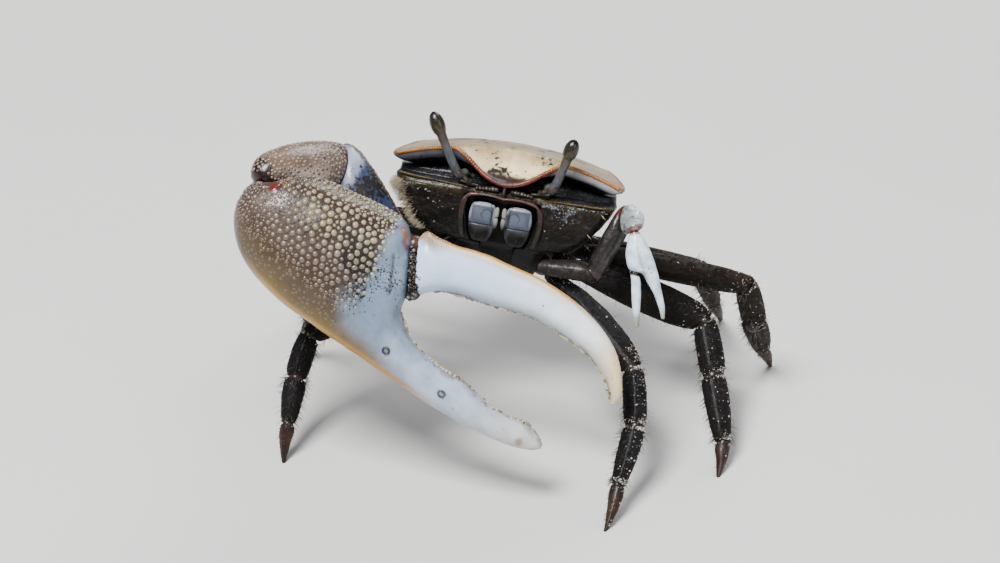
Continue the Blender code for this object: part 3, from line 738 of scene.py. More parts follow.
TRUNK_OUTLINE = [
    (0, 0), (0.3, 0), (0.41, 0), (0.62, 0.01), (0.85, 0.03), (0.97, 0.07), (1, 0.16),
    (0.99, 0.3), (0.95, 0.48), (0.88, 0.66), (0.77, 0.82), (0.6, 0.95), (0.35, 1), (0, 1),
]
TRUNK_LEVELS = [
    (-1.5, -1.2, 14.2, -6.2, 10, 0), (-2.3, -1.9, 14.3, -6.3, 10, 0),
    (-2.55, -2.2, 14.4, -7.4, 10, 0), (-2.6, -2.3, 14.5, -8.35, 10, 0),
    (-2.75, -2.5, 14.5, -8.7, 10, 0), (-3.2, -2.9, 14.3, -8.9, 9.9, 0),
    (-3.55, -3.2, 14.1, -8.95, 9.85, 0), (-3.75, -3.4, 14, -8.95, 9.8, 1.1),
    (-4.2, -3.7, 13.8, -8.9, 9.7, 1.5), (-6, -4.4, 12.8, -8.7, 9.5, 1.5),
    (-8.4, -5.2, 11.2, -8.2, 9.1, 1.3), (-9.6, -5.8, 10, -7.7, 8.7, 0.8),
    (-9.9, -6.2, 6.4, -7, 7.9, 0.3), (-12.2, -8.6, 5.8, -6.5, 7.2, 0),
    (-14, -10, 5, -5.6, 6.2, 0), (-14.8, -10.6, 3.8, -4.2, 4.8, 0),
]


TRUNK_SIDES = 180
TRUNK_CURVE = mirrored_curve(TRUNK_OUTLINE, TRUNK_SIDES)
TRUNK_STEPS = 5


def trunk_ring(level, share=1):
    z_front, z_rear, half_width, front, rear, recess = level
    ring = []
    for across, along, _ in TRUNK_CURVE:
        y = front + (rear - front) * along
        y += recess * step(0.37, 0.33, abs(across)) * step(0.5, 0.4, along)
        ring.append(Vector((across * half_width * share, y * share, z_front + (z_rear - z_front) * along)))
    return ring


def add_trunk():
    roof = []
    for share in (0.3, 0.6, 0.86):
        ring = trunk_ring(TRUNK_LEVELS[0], share)
        for point in ring:
            point.z = dome_height(point.x, point.y) - 2.4
        roof.append(ring)
    walls = []
    for level, after in zip(TRUNK_LEVELS, TRUNK_LEVELS[1:]):
        for part in range(TRUNK_STEPS):
            walls.append(trunk_ring([a + (b - a) * part / TRUNK_STEPS for a, b in zip(level, after)]))
    walls.append(trunk_ring(TRUNK_LEVELS[-1]))
    for ring in walls:
        for point in ring:
            if point.z < -3.4 and abs(point.x) > 4 or point.y > 0:
                point += Vector((point.x, point.y, 0)).normalized() * 0.14 * clouds(point, 1.3)
    shape = loft(roof + walls)

    def paint(point, normal):
        x, y, z = point
        patch = clouds(point, 2.4) + 0.6 * clouds(point, 0.8)
        if y > -6.6 and z > -2.9 and abs(x) < 14 and y < -3:
            return blend((38, 36, 38), ORBIT_BLUE, 0.55 + 0.5 * patch), 0.25
        if z > -2.62 and y < -6:
            sheen = step(0, 0.5, clouds(point, 1.7))
            tint = blend((42, 40, 42), ORBIT_BLUE, 0.6 + 0.5 * patch)
            return blend(tint, (96, 104, 118), 0.6 * sheen * step(4, 7, abs(x))), 0.25
        tint = blend((42, 39, 38), FACE_BROWN, 0.5 + 0.7 * patch)
        if y < -6:
            ridge = step(-4.3, -3.1, z) * step(14.6, 12, abs(x)) * step(4.6, 6, abs(x))
            tint = coats(
                tint,
                ((96, 76, 46), 0.75 * ridge),
                (GOLD, 0.8 * step(-3.2, -2.8, z) * step(14.6, 12, abs(x))),
            )
            smear = max(
                peak(x - 8.2, 2.4) * peak(z + 4.4 + 0.3 * (x - 8.2), 1.1),
                0.8 * peak(x + 12.6, 1) * peak(z + 4.6, 0.8),
            )
            tint = coats(
                tint,
                ((150, 154, 160), 0.9 * smear * step(-0.05, 0.45, clouds(point, 0.7))),
                ((30, 28, 28), 0.6 * step(-6, -9, z)),
            )
            mouth = step(5.4, 4.6, abs(x)) * step(-3.5, -3.75, z)
            tint = blend(tint, (30, 28, 28), mouth)
            return tint, 0.3 + 0.3 * patch - 0.3 * mouth
        side = step(8, 12, abs(x))
        tint = coats(
            tint,
            ((90, 82, 74), 0.5 * side * step(-3.4, -6.5, z)),
            ((80, 74, 70), 0.6 * step(-9.6, -10.4, z)),
        )
        return tint, 0.4 + 0.3 * patch

    place_piece("trunk_shell", painted(shape, paint), BODY, FACE_SHELL, ["thorax"])
    add_face_fringe(walls)
    add_face_crumbs(walls)


def add_face_fringe(walls):
    """Short pale bristles down both sides of the face, and a few along the sockets' rims."""
    skin = Skin(walls)
    coat = Shape(coat=True)
    for centre, count in ((142, 1300), (38, 16)):
        for _ in range(count):
            row, column = DRAW.uniform(24, 54), centre + DRAW.gauss(0, 3.2)
            root, out = skin.at(row, column)
            way = (out + Vector((math.copysign(0.5, root.x), -0.5, DRAW.uniform(-0.5, 0.1)))).normalized()
            way = (way + jitter(0.25)).normalized()
            length = DRAW.uniform(0.7, 1.6) * (0.6 + 0.4 * math.sin(math.pi * (row - 24) / 30))
            tint = blend((214, 209, 199), (172, 160, 144), DRAW.random() ** 1.5)
            hair(coat, root, way, length, BRISTLE_WIDTH, tint, (row / 80, column / TRUNK_SIDES))
    for _ in range(260):
        row = DRAW.uniform(18, 24)
        column = DRAW.choice((DRAW.uniform(14, 34), DRAW.uniform(146, 166)))
        root, out = skin.at(row, column)
        way = (out + jitter(0.5)).normalized()
        length = DRAW.uniform(0.25, 0.6)
        hair(coat, root, way, length, 0.03, (130, 112, 88), (row / 80, column / TRUNK_SIDES))
    place_piece("face_bristles", coat, BODY, BRISTLES)


def add_face_crumbs(walls):
    """Pale mud crumbs that cling to the face."""
    skin = Skin(walls)
    crumbs = Shape()
    for across, row, wide, high, count in (
        (14, 31, 4, 5, 70), (22, 26, 9, 2, 60), (150, 31, 3, 3, 26),
        (160, 22, 6, 2, 26), (20, 40, 6, 9, 34), (158, 42, 7, 9, 20),
    ):
        for _ in range(count):
            place, out = skin.at(row + DRAW.gauss(0, high / 2), across + DRAW.gauss(0, wide / 2))
            tint = blend((164, 170, 178), (110, 104, 98), DRAW.random())
            grain(crumbs, place, out, DRAW.uniform(0.05, 0.17), tint)
    place_piece("face_crumbs", crumbs, BODY, GRAINS)


def ridge_edge(x):
    """Front edge of the lower rim of the eye sockets."""
    z = -2.75 - 0.0026 * (14 - abs(x)) ** 2 + 0.02 * abs(x - 4) * (x < 0)
    y = -8.72 + 0.5 * step(11, 14.4, abs(x)) ** 2 * 3
    return Vector((x, y, z))


def add_face():
    """Crenulated rim under the eyes, mouth frame and the folds between the eyes."""
    rim = Shape()
    for sign in SIDES.values():
        for number in range(44):
            x = sign * (4.9 + 0.213 * number)
            place = ridge_edge(x)
            size = 0.17 + 0.05 * step(30, 44, number)
            tint = blend(GOLD, (92, 66, 42), DRAW.random())
            pebble(rim, place, Vector((0, -0.8, 0.5)), size, 0.9, 2, tint, (58, 46, 34), 0.2)
    place_piece("socket_rim_teeth", rim, BODY, CARPUS_SHELL)

    frame_path = [
        (-4.6, -8.3, -9.2), (-5, -8.6, -7.6), (-5.15, -8.85, -5.8), (-4.95, -9, -4.4),
        (-4.3, -9.15, -3.62), (-2.6, -9.25, -3.36), (-1, -9.3, -3.42), (0, -9.32, -3.56),
        (1, -9.3, -3.46), (2.6, -9.25, -3.46), (4.2, -9.15, -3.78), (4.95, -9, -4.6),
        (5.2, -8.85, -5.9), (5.05, -8.6, -7.6), (4.7, -8.3, -9.2),
    ]
    points = [Vector(place) for place in frame_path]
    swells = [0.2 * step(3.8, 5, abs(place[0])) for place in frame_path]
    radii = [(0.17 + swell, 0.15 + swell) for swell in swells]
    shape = loft(tube(points, radii, 18, 150))

    def paint_frame(point, normal):
        lip = step(-4.2, -3.7, point.z)
        tint = blend((84, 62, 58), (124, 84, 74), lip)
        tint = coats(
            tint,
            ((150, 108, 94), 0.6 * lip * step(-0.1, 0.5, normal.z)),
            (FACE_BROWN, 0.85 * step(-4.8, -7.4, point.z)),
        )
        return tint, 0.2 + 0.3 * step(-5, -8, point.z)

    place_piece("mouth_frame", painted(shape, paint_frame), BODY, JOINT_SKIN)

    folds = Shape()
    brown = (66, 54, 46)
    for sign in SIDES.values():
        for number in range(7):
            x, y = sign * (1.05 + 0.42 * number), -8.95 - 0.05 * math.sin(number)
            place = Vector((x, y, -2.45 - 0.04 * number))
            size = 0.42 - 0.025 * number
            tint = blend(brown, (128, 116, 102), 0.5 * (number % 2))
            pebble(folds, place, Vector((0, -0.75, 0.66)), size, 0.8, 2, tint, (44, 38, 34), 0.25)
        for number in range(9):
            place = Vector((sign * (3.6 + 0.26 * number), -8.9, -2.35 + 0.03 * number))
            pebble(folds, place, Vector((0, -0.7, 0.7)), 0.2, 1, 2, (96, 86, 76), brown, 0.2)
    for number in range(5):
        place = Vector((0, -9.5, -1.6 - 0.32 * number))
        size = 0.34 - 0.03 * number
        pebble(folds, place, Vector((0, -1, 0.1)), size, 0.7, 2, TOE_RED, MUD, 0.2)
    place_piece("feeler_folds", folds, BODY, JOINT_SKIN)


# Mouth plate and palp: height of each ring, and its half width and half depth or its radius.
MOUTH_PLATE = [
    (-4.5, 0.9, 0.25), (-4.62, 1.3, 0.4), (-5, 1.58, 0.5), (-6, 1.76, 0.56), (-7, 1.7, 0.5),
    (-7.16, 1.64, 0.42), (-7.22, 1.6, 0.34), (-7.28, 1.64, 0.42), (-7.5, 1.68, 0.5), (-8.4, 1.5, 0.52),
    (-9.2, 1.1, 0.42), (-9.4, 0.8, 0.3),
]
MOUTH_PLATE_X = 2.35
PALP = [
    (-4.72, 0.14), (-4.85, 0.24), (-5.4, 0.3), (-5.9, 0.22), (-6, 0.16), (-6.1, 0.22), (-6.5, 0.28),
    (-7.1, 0.24), (-7.4, 0.1),
]


def add_mouth():
    for side, sign in SIDES.items():
        rings = [
            oval(Vector((sign * MOUTH_PLATE_X, -8.42, z)), half_width, half_depth, 24, 0.8)
            for z, half_width, half_depth in MOUTH_PLATE
        ]
        shape = loft(rounded_ends(finer(rings, 90, 96), 0.1, 0.1))

        def paint(point, normal, sign=sign):
            across = (point.x - sign * MOUTH_PLATE_X) * sign
            z = point.z
            if z <= -7.22:
                lower = step(-7.3, -8.3, z + 0.4 * clouds(point, 1))
                tint = blend((80, 82, 88), (36, 34, 34), lower)
                tint = blend(tint, (110, 112, 120), 0.5 * step(-0.9, -1.5, across))
                return tint, 0.1 + 0.2 * step(-8, -9.2, z)
            inner = across + 1.62
            top = -4.62 - z
            border = min(inner, max(0, top), 1.68 - across, z + 7.2)
            tint = blend((112, 121, 138), (92, 100, 116), 0.5 + 0.6 * clouds(point, 1))
            tint = blend(tint, (132, 140, 156), 0.6 * step(0.2, 0.8, border))
            curl = abs(math.hypot(across + 0.55, (z + 5.95) * 0.9) - 0.66)
            tint = coats(
                tint,
                ((52, 54, 66), 0.85 * step(0.09, 0.03, curl) * step(-6.6, -6.2, z)),
                ((178, 182, 186), 0.9 * step(0.34, 0.1, border) * step(-7.1, -6.2, z)),
                ((44, 42, 46), 0.8 * step(0.12, 0.02, z + 7.22)),
            )
            line = abs(inner - 0.42 - 0.2 * step(-5.3, -4.8, z))
            return blend(tint, (50, 50, 58), 0.8 * step(0.09, 0.03, line)), 0.08

        place_piece(
            f"mouth_plate_{side}", painted(shape, paint), BODY, MOUTH_SHELL, [f"maxilliped_{side}"]
        )
        palp = [oval(Vector((sign * 0.48, -9.55, z)), radius, radius * 0.8, 16) for z, radius in PALP]
        shape = loft(rounded_ends(finer(palp, 60, 32), 0.05, 0.05))

        def paint_palp(point, normal):
            seam = step(0.12, 0.04, abs(point.z + 6))
            tint = blend((170, 172, 170), (104, 98, 84), step(-6.3, -7.3, point.z))
            return blend(tint, (50, 44, 40), seam), 0.05

        shape = painted(shape, paint_palp)
        place_piece(f"palp_shell_{side}", shape, BODY, MOUTH_SHELL, [f"palp_{side}"])


# Eyes.

EYE_PATHS = {
    "right": [(-5.6, -7.1, -1.3), (-6.3, -8.6, -1.3), (-7.2, -9.7, 0.2), (-10.6, -10.5, 6.2)],
    "left": [(5.4, -7.1, -1.3), (6, -8.6, -1.4), (6.6, -9.8, -0.1), (8.1, -11.4, 5.7)],
}


def add_eyes():
    for side, places in EYE_PATHS.items():
        socket, bend, rise, tip = [Vector(place) for place in places]
        neck = rise.lerp(tip, 0.55)
        points = [socket, bend, rise, rise.lerp(neck, 0.5), neck, neck.lerp(tip, 0.1)]
        radii = [(0.58 * swell,) * 2 for swell in (1.15, 1.12, 1, 0.95, 1.12, 1.2)]
        shape = loft(tube(points, radii, 28, 60))
        axis = (tip - rise).normalized()

        def paint_stalk(point, normal, rise=rise, axis=axis):
            up = (point - rise).dot(axis) / 3.4
            streak = clouds(Vector((point.x * 2, point.y * 2, point.z * 0.4)), 0.8)
            tint = blend(STALK_GREY, (82, 86, 96), 0.35 + 0.6 * streak)
            tint = blend(tint, OLIVE, 0.7 * step(0.45, 1.05, up))
            pale = step(0.1, -0.3, up) * step(0.1, 0.6, normal.z)
            return blend(tint, (164, 160, 146), 0.5 * pale), 0.15

        shape = painted(shape, paint_stalk)
        place_piece(f"stalk_{side}", shape, BODY, STALK_SKIN, [f"eyestalk_{side}"])
        start = neck + axis * 0.1
        length = (tip - start).length
        turn = turned_to(axis).to_3x3()
        circle = [turn @ Vector((math.cos(angle), math.sin(angle), 0)) for angle in around(24)]
        rings = []
        for share in [number / 15 for number in range(16)]:
            radius = 0.98 * math.sqrt(max(0.035, 1 - (1.75 * share - 0.75) ** 2))
            rings.append([start + axis * length * share + offset * radius for offset in circle])
        shape = loft(rounded_ends(finer(rings, 48, 48), 0.02, 0.02))

        def paint_eye(point, normal, start=start, axis=axis, length=length):
            up = (point - start).dot(axis) / length
            band = step(-0.1, 0.5, normal.dot(Vector((0.35, -0.9, 0.1))))
            tint = blend((86, 76, 56), (124, 110, 84), 0.5 + 0.7 * clouds(point, 0.7))
            tint = blend(tint, (50, 42, 34), 0.7 * band * step(0.1, 0.45, up))
            return blend(tint, (40, 37, 33), step(0.8, 0.92, up)), 0

        place_piece(f"eye_{side}", painted(shape, paint_eye), BODY, EYE, [f"cornea_{side}"])


def add_feelers():
    for side, sign in SIDES.items():
        places = [(4.6, -9.2, -1.9), (5, -9.9, -1.7), (5.8, -10.6, -1.2), (6.9, -11.3, -0.7)]
        points = [Vector((sign * x, y, z)) for x, y, z in places]
        rings = tube(points, [(0.27 * share,) * 2 for share in (1.2, 1, 0.8, 0.45)], 12, 60)
        for ring in rings[::5]:
            drawn_in(ring, 0.16)
        shape = loft(rings)

        def paint(point, normal):
            band = 0.5 + 0.5 * math.sin(point.y * 9)
            return blend((58, 48, 40), (116, 102, 86), band), 0.1

        place_piece(f"feeler_{side}", painted(shape, paint), BODY, JOINT_SKIN, [f"antenna_{side}"])


# Tail flap.

TAIL_PATH = [
    (11, -1.9, 4.4), (10.9, -3.6, 4.4), (10.3, -5.6, 4.2), (9.2, -7.6, 3.9), (8.2, -9.4, 3.6),
    (6.9, -11, 3.2), (5, -11.9, 2.8), (2, -13.2, 2.3), (-1, -14.5, 1.7), (-3, -15.4, 0.9),
]


def add_tail():
    points = [Vector((0, y, z)) for y, z, _ in TAIL_PATH]
    rings = tube(points, [(width, 0.55) for _, _, width in TAIL_PATH], 72, 120)
    seams = [6 + 18.5 * number for number in range(1, 6)]
    for number, ring in enumerate(rings):
        drawn_in(ring, 0.13 * max(peak(number - seam, 1.3) for seam in seams))
    shape = loft(rings)
    places = [centre_of(rings[int(seam)]) for seam in seams]

    def paint(point, normal):
        near = min((Vector((0, point.y, point.z)) - place).length for place in places)
        tint = blend((92, 84, 78), (128, 116, 104), 0.5 + 0.6 * clouds(point, 1.5))
        tint = blend(tint, (160, 150, 134), 0.7 * step(0.35, 0.12, near))
        return tint, 0.35 + 0.3 * clouds(point, 0.9)

    place_piece("tail_flap", painted(shape, paint), BODY, BELLY_SHELL, ["abdomen"])


# Limbs.


def limb_rings(start, end, planes, rests, profile, up, sides):
    """Rings of a limb piece between two joints, cut there on the joints' planes."""
    axis = (end - start).normalized()
    side = axis.cross(up).normalized()
    lift = side.cross(axis)
    cuts = [start + planes[0] * (GAP / 2), end if rests else end - planes[1] * (GAP / 2)]
    rings = []
    for share, high, thick, rise in profile:
        ring = []
        for angle in around(sides):
            offset = lift * (high * math.cos(angle) + rise) + side * thick * math.sin(angle)
            reach = [(cut - start - offset).dot(plane) / axis.dot(plane) for cut, plane in zip(cuts, planes)]
            ring.append(start + offset + axis * (reach[0] + share * (reach[1] - reach[0])))
        rings.append(ring)
    return rings


def chain_planes(joints, first, last):
    runs = [(b - a).normalized() for a, b in zip(joints, joints[1:])]
    return [first, *[(a + b).normalized() for a, b in zip(runs, runs[1:])], last]


def scaled(profile, scale):
    return [(share, high * scale, thick * scale, rise * scale) for share, high, thick, rise in profile]


def carved(rings, relief):
    """Raises each point by what relief gives for its share along, its angle and its place."""
    last, sides = len(rings) - 1, len(rings[0])
    for row, ring in enumerate(rings):
        middle = centre_of(ring)
        for number, point in enumerate(ring):
            away = (point - middle).normalized()
            point += away * relief(row / last, 2 * math.pi * number / sides, point)
    return rings


HIPS = [(6.5, -3.5, -12.1), (6.3, -0.5, -10.9), (5.9, 2.5, -9.8), (5.3, 5.4, -8.8)]
LEGS = {
    "left_1": [(18.1, -19.5, 13.7), (19.2, -25.5, 8.7), (17.8, -31.8, 3.7), (16.8, -36.4, 0)],
    "left_2": [(26.2, -6.7, 13.7), (28.1, -11.9, 8.7), (30.1, -18.7, 2.9), (29.9, -22.2, 0)],
    "left_3": [(31.3, -3.5, 17.9), (32.6, -1, 10.9), (33.7, 3.3, 4.2), (34.8, 5.9, 0)],
    "left_4": [(25, 2, 16.9), (25.6, 6.2, 11.9), (26.3, 12.7, 5), (27.1, 17.3, 0)],
    "right_1": [(-24.5, -16.5, 13.2), (-25.8, -20.3, 8.9), (-26.2, -24.4, 4.4), (-26.4, -26.8, 0)],
    "right_2": [(-24.9, -9, 19.1), (-26, -6.4, 13.6), (-27.3, -2.8, 7.2), (-29.4, -1, 0)],
    "right_3": [(-31, 1.5, 18), (-31.2, 6, 12.3), (-29.8, 11, 4.8), (-28, 14, 0)],
    "right_4": [(-24.5, 9, 17.5), (-24.9, 13.3, 12.2), (-24.6, 19, 5.1), (-24, 23, 0)],
}
LEG_SCALE = {"1": 0.86, "2": 1, "3": 1.04, "4": 0.86}
LEG_WARMTH = {"1": 0.05, "2": 0.2, "3": 0.5, "4": 0.7}
LEG_SIDES = 28
LEG_END = 0.13
# Leg pieces, ring by ring: share of the length, half height, half thickness and rise.
THIGH = [
    (0, 1.15, 1.05, 0), (0.07, 1.35, 1.15, 0), (0.14, 1.3, 1.15, 0), (0.17, 1.05, 1, 0),
    (0.22, 1.35, 1.15, 0.05), (0.38, 2, 1.3, 0.25), (0.6, 2.45, 1.35, 0.35),
    (0.82, 2.35, 1.3, 0.25), (0.94, 1.95, 1.25, 0.1), (1, 1.5, 1.15, 0),
]
SHANK = [
    (0, 1.35, 1.1, 0), (0.12, 1.6, 1.25, 0.1), (0.45, 1.75, 1.3, 0.2), (0.85, 1.7, 1.3, 0.1),
    (1, 1.35, 1.15, 0),
]
PALM = [
    (0, 1.4, 1.15, 0), (0.1, 1.65, 1.25, 0), (0.45, 1.6, 1.2, 0.05), (0.85, 1.25, 1.05, 0),
    (1, 0.95, 0.85, 0),
]
TOE = [
    (0, 0.85, 0.75, 0), (0.15, 0.95, 0.8, 0.05), (0.45, 0.72, 0.65, 0.12),
    (0.8, 0.42, 0.4, 0.08), (1, 0.26, 0.26, 0),
]
PIECES = ("merus", "carpus", "propodus", "dactyl")
# Bristles of each leg piece: how many, and how long at most.
FRINGE = {"merus": (150, 1.3), "carpus": (110, 1.2), "propodus": (170, 1.3), "dactyl": (60, 0.6)}
SAND = [(186, 184, 180), (158, 150, 138), (124, 112, 98), (204, 204, 206)]


def ridged(piece):
    """Relief of a leg piece: long ridges, and low cross wrinkles on the thigh."""

    def relief(share, angle, point):
        middle = math.sin(math.pi * share)
        height = 0.06 * middle * math.cos(4 * angle) + 0.05 * clouds(point, 0.9)
        if piece == "merus":
            wrinkle = math.sin(60 * share + 2 * math.sin(3 * angle)) * max(0, math.cos(angle))
            height += 0.04 * middle * wrinkle
        return height - 0.1 * middle * peak(abs(angle - math.pi) - 1.45, 0.16)

    return relief


def paint_leg(start, end, lift, piece, warmth):
    axis = end - start

    def paint(point, normal):
        share = share_along(point, start, axis)
        patch = clouds(point, 1.8) + 0.5 * clouds(point, 0.5)
        dark = blend(LEG_DARK, (50, 42, 38), warmth)
        light = blend(LEG_SLATE_SHEEN, (86, 66, 52), warmth)
        # Upper faces are painted lighter towards slate as a painted sheen; the cloudy patches add the shell's
        # own mottling.
        tint = blend(dark, light, 0.25 + 0.45 * normal.dot(lift) + 0.6 * patch)
        if piece == "dactyl":
            red = blend(TOE_RED, (90, 62, 48), 0.4 + patch)
            tint = blend(tint, red, 0.35 + 0.5 * step(0, 0.5, share))
            return blend(tint, (70, 50, 44), step(0.8, 1, share)), 0.15
        ends = max(step(0.1, 0, share), step(0.92, 1, share))
        tint = blend(tint, (64, 50, 44), 0.4 * ends)
        return tint, 0.2 + 0.3 * patch + 0.15 * step(0.3, 0.9, share)

    return paint


def in_box(point, margin):
    """Whether a point of the stance lies within the solids' box."""
    place = STANCE @ point
    return all(
        1000 * low + spare < value < 1000 * high - margin
        for low, value, high, spare in zip(solid_box[0], place, solid_box[1], (margin, margin, 0.05))
    )


def add_fringe(coat, rings, piece, axis, cell, warmth):
    """Bristles on the edges of a leg piece, leaning towards its tip."""
    count, longest = FRINGE[piece]
    skin, sides = Skin(rings), len(rings[0])
    for _ in range(count):
        share = DRAW.uniform(0.06, 0.97)
        edge = DRAW.choice((0, 0.25, 0.5, 0.5, 0.75))
        corner = (edge + DRAW.gauss(0, 0.035)) % 1
        root, out = skin.at(skin.row_at(share), corner * sides)
        sway = jitter(0.35)
        way = (out + axis * DRAW.uniform(0.3, 0.9) + sway).normalized()
        length = longest * DRAW.uniform(0.35, 1)
        if not in_box(root + way * length, 0.12):
            continue
        tint = blend((158, 148, 134), (96, 80, 66), DRAW.random() * 0.7 + 0.3 * warmth)
        patch = ((cell % 8 + share * 0.97) / 8, (cell // 8 + corner * 0.97) / 4)
        hair(coat, root, way, length, BRISTLE_WIDTH, tint, patch)


def add_legs():
    low, high = (STANCE.inverted() @ (1000 * Vector(corner)) for corner in solid_box)
    coat, sand, skins = Shape(coat=True), Shape(), Shape()
    for leg_number, (leg, places) in enumerate(LEGS.items()):
        side, number = leg.split("_")
        sign = SIDES[side]
        x, y, z = HIPS[int(number) - 1]
        joints = [BODY_IN_STANCE @ Vector((sign * x, y, z))] + [Vector(place) for place in places]
        outward = BODY_IN_STANCE.to_3x3() @ Vector((sign, 0, 0))
        planes = chain_planes(joints, outward, -UP)
        up = (joints[1] - joints[0]).normalized() - (joints[4] - joints[1]).normalized()
        profiles = [scaled(profile, LEG_SCALE[number]) for profile in (THIGH, SHANK, PALM)] + [TOE]
        warmth = LEG_WARMTH[number]
        for place, piece in enumerate(PIECES):
            start, end = joints[place : place + 2]
            toe = piece == "dactyl"
            rings = limb_rings(start, end, planes[place : place + 2], toe, profiles[place], up, LEG_SIDES)
            rings = carved(finer(rings, 44 if piece == "merus" else 28, LEG_SIDES), ridged(piece))
            rings = rounded_ends(rings, LEG_END, 0 if toe else LEG_END)
            for ring in rings:
                for point in ring:
                    point.z = max(point.z, 0)
                    point.x = min(max(point.x, low.x), high.x)
            axis = (end - start).normalized()
            lift = axis.cross(up).normalized().cross(axis)
            shape = painted(loft(rings), paint_leg(start, end, lift, piece, warmth))
            material = TOE_SHELL if toe else LEG_SHELL
            name = f"leg_{leg}_{piece}"
            place_piece(name + "_shell", shape, STANCE, material, [name])
            add_fringe(coat, rings, piece, axis, leg_number + 8 * place, warmth)
            add_sand(sand, rings, leg, piece)
            if place:
                size = profiles[place][0][1] * 0.9
                dark = blend((44, 37, 35), (64, 48, 42), DRAW.random())
                pebble(skins, start, axis, size, 0.9, 3, dark, dark)
            else:
                hip = blend((60, 52, 46), (84, 74, 66), DRAW.random())
                size = LEG_SCALE[number]
                pebble(skins, start - axis * 0.7, axis, 1.75 * size, 1.1, 3, hip, hip, 0.2)
                pebble(skins, start - axis * 2.6 + lift * 0.3, axis, 2 * size, 1, 3, hip, hip, 0.2)
    place_piece("leg_bristles", coat, STANCE, BRISTLES)
    place_piece("leg_sand", sand, STANCE, GRAINS)
    place_piece("leg_joint_skins", skins, STANCE, JOINT_SKIN)


def add_sand(sand, rings, leg, piece):
    """Grains that cling to a leg, most of them along the upper edge and by the joints."""
    skin = Skin(rings)
    amount = {"left_1": 430, "left_2": 330, "left_3": 110, "right_1": 120}.get(leg, 30)
    sides = len(rings[0])
    for _ in range(int(amount * {"merus": 0.8, "carpus": 1, "propodus": 1, "dactyl": 0.12}[piece])):
        share = DRAW.choice((DRAW.uniform(0.05, 0.95), DRAW.uniform(0.8, 0.97), DRAW.uniform(0.04, 0.2)))
        corner = DRAW.choice((DRAW.gauss(0.02, 0.07), DRAW.gauss(0.12, 0.08), DRAW.uniform(0, 1)))
        place, out = skin.at(skin.row_at(share), (corner % 1) * sides)
        if place.z > 0.5 and in_box(place, 0.2):
            grain(sand, place, out, 0.04 + 0.1 * DRAW.random() ** 2, DRAW.choice(SAND))


# Great claw, in its own frame: x from wrist to tips, y up the palm, z out of the outer face.

# Stations of a hand or finger: lower edge point, upper edge point, thickness of the outer and of
# the inner face, how square its ring is and how far it leans.
MAJOR_HAND = [
    ((-1.6, 1.2), (1.2, 2.6), 1.2, 1.4, 1, -0.55), ((-1.5, -0.5), (1.8, 3.4), 2.3, 1.5, 1, -0.5),
    ((-0.8, -2.9), (2.4, 5.1), 3.5, 1.7, 0.95, -0.3), ((0.6, -4.7), (3.3, 6.7), 4.4, 2.3, 0.9, -0.12),
    ((2.8, -6.2), (5.8, 7.9), 5, 3.5, 0.88, 0), ((6.4, -7.3), (9.4, 8.9), 5.4, 4.2, 0.86, 0),
    ((10.8, -7.7), (13.2, 9.9), 5.3, 4.4, 0.86, 0), ((15, -7.4), (16.2, 10.2), 4.8, 4.1, 0.8, 0),
    ((18.4, -7.1), (18.2, 9), 4.2, 3.7, 0.72, 0), ((20.3, -6.9), (20.2, 6.3), 3.8, 3.4, 0.7, 0),
    ((21.9, -6.7), (22.1, 3.3), 3.4, 3, 0.75, 0), ((23.6, -6.55), (23.1, 1.2), 3, 2.7, 0.85, 0),
    ((25.6, -6.4), (24.8, 0), 2.7, 2.4, 0.95, 0), ((28.3, -6.15), (27.2, -0.95), 2.45, 2.2, 1, 0),
    ((31.6, -5.8), (31, -1.15), 2.3, 2.05, 1, 0), ((35, -5.35), (34.7, -0.65), 2.2, 1.95, 1, 0),
    ((38.6, -4.75), (38.4, -0.65), 2.1, 1.85, 1, 0), ((42, -3.85), (41.6, -0.45), 1.9, 1.7, 1, 0),
    ((44.9, -2.85), (44.3, 0.45), 1.5, 1.35, 1, 0), ((46.8, -1.8), (46.2, 0.25), 0.95, 0.9, 1, 0),
    ((47.6, -0.9), (47.3, -0.1), 0.45, 0.45, 1, 0),
]
MAJOR_FINGER = [
    ((23.1, 3.9), (18.9, 9.7), 2.4, 2.1, 0.8, 0), ((23.7, 4.4), (19.2, 11), 2.8, 2.5, 0.85, 0),
    ((24.5, 5.5), (20.8, 11.3), 2.9, 2.6, 0.9, 0), ((26.2, 6.9), (23.4, 12.1), 2.8, 2.5, 0.95, 0),
    ((29.5, 8.2), (27.1, 13.7), 2.6, 2.3, 1, 0), ((32.9, 9.8), (30.8, 14.7), 2.45, 2.15, 1, 0),
    ((36.6, 11.2), (34.8, 15.8), 2.3, 2, 1, 0), ((40.2, 11.85), (39.3, 16.2), 2.15, 1.85, 1, 0),
    ((43.5, 12.1), (43.4, 15.85), 1.95, 1.7, 1, 0), ((46.1, 11.8), (46.8, 14.75), 1.7, 1.5, 1, 0),
    ((48.4, 11), (49.7, 12.7), 1.35, 1.2, 1, 0), ((49.9, 9.9), (51.2, 10.8), 0.95, 0.85, 1, 0),
    ((50.7, 9.2), (51.4, 9.5), 0.4, 0.4, 1, 0),
]
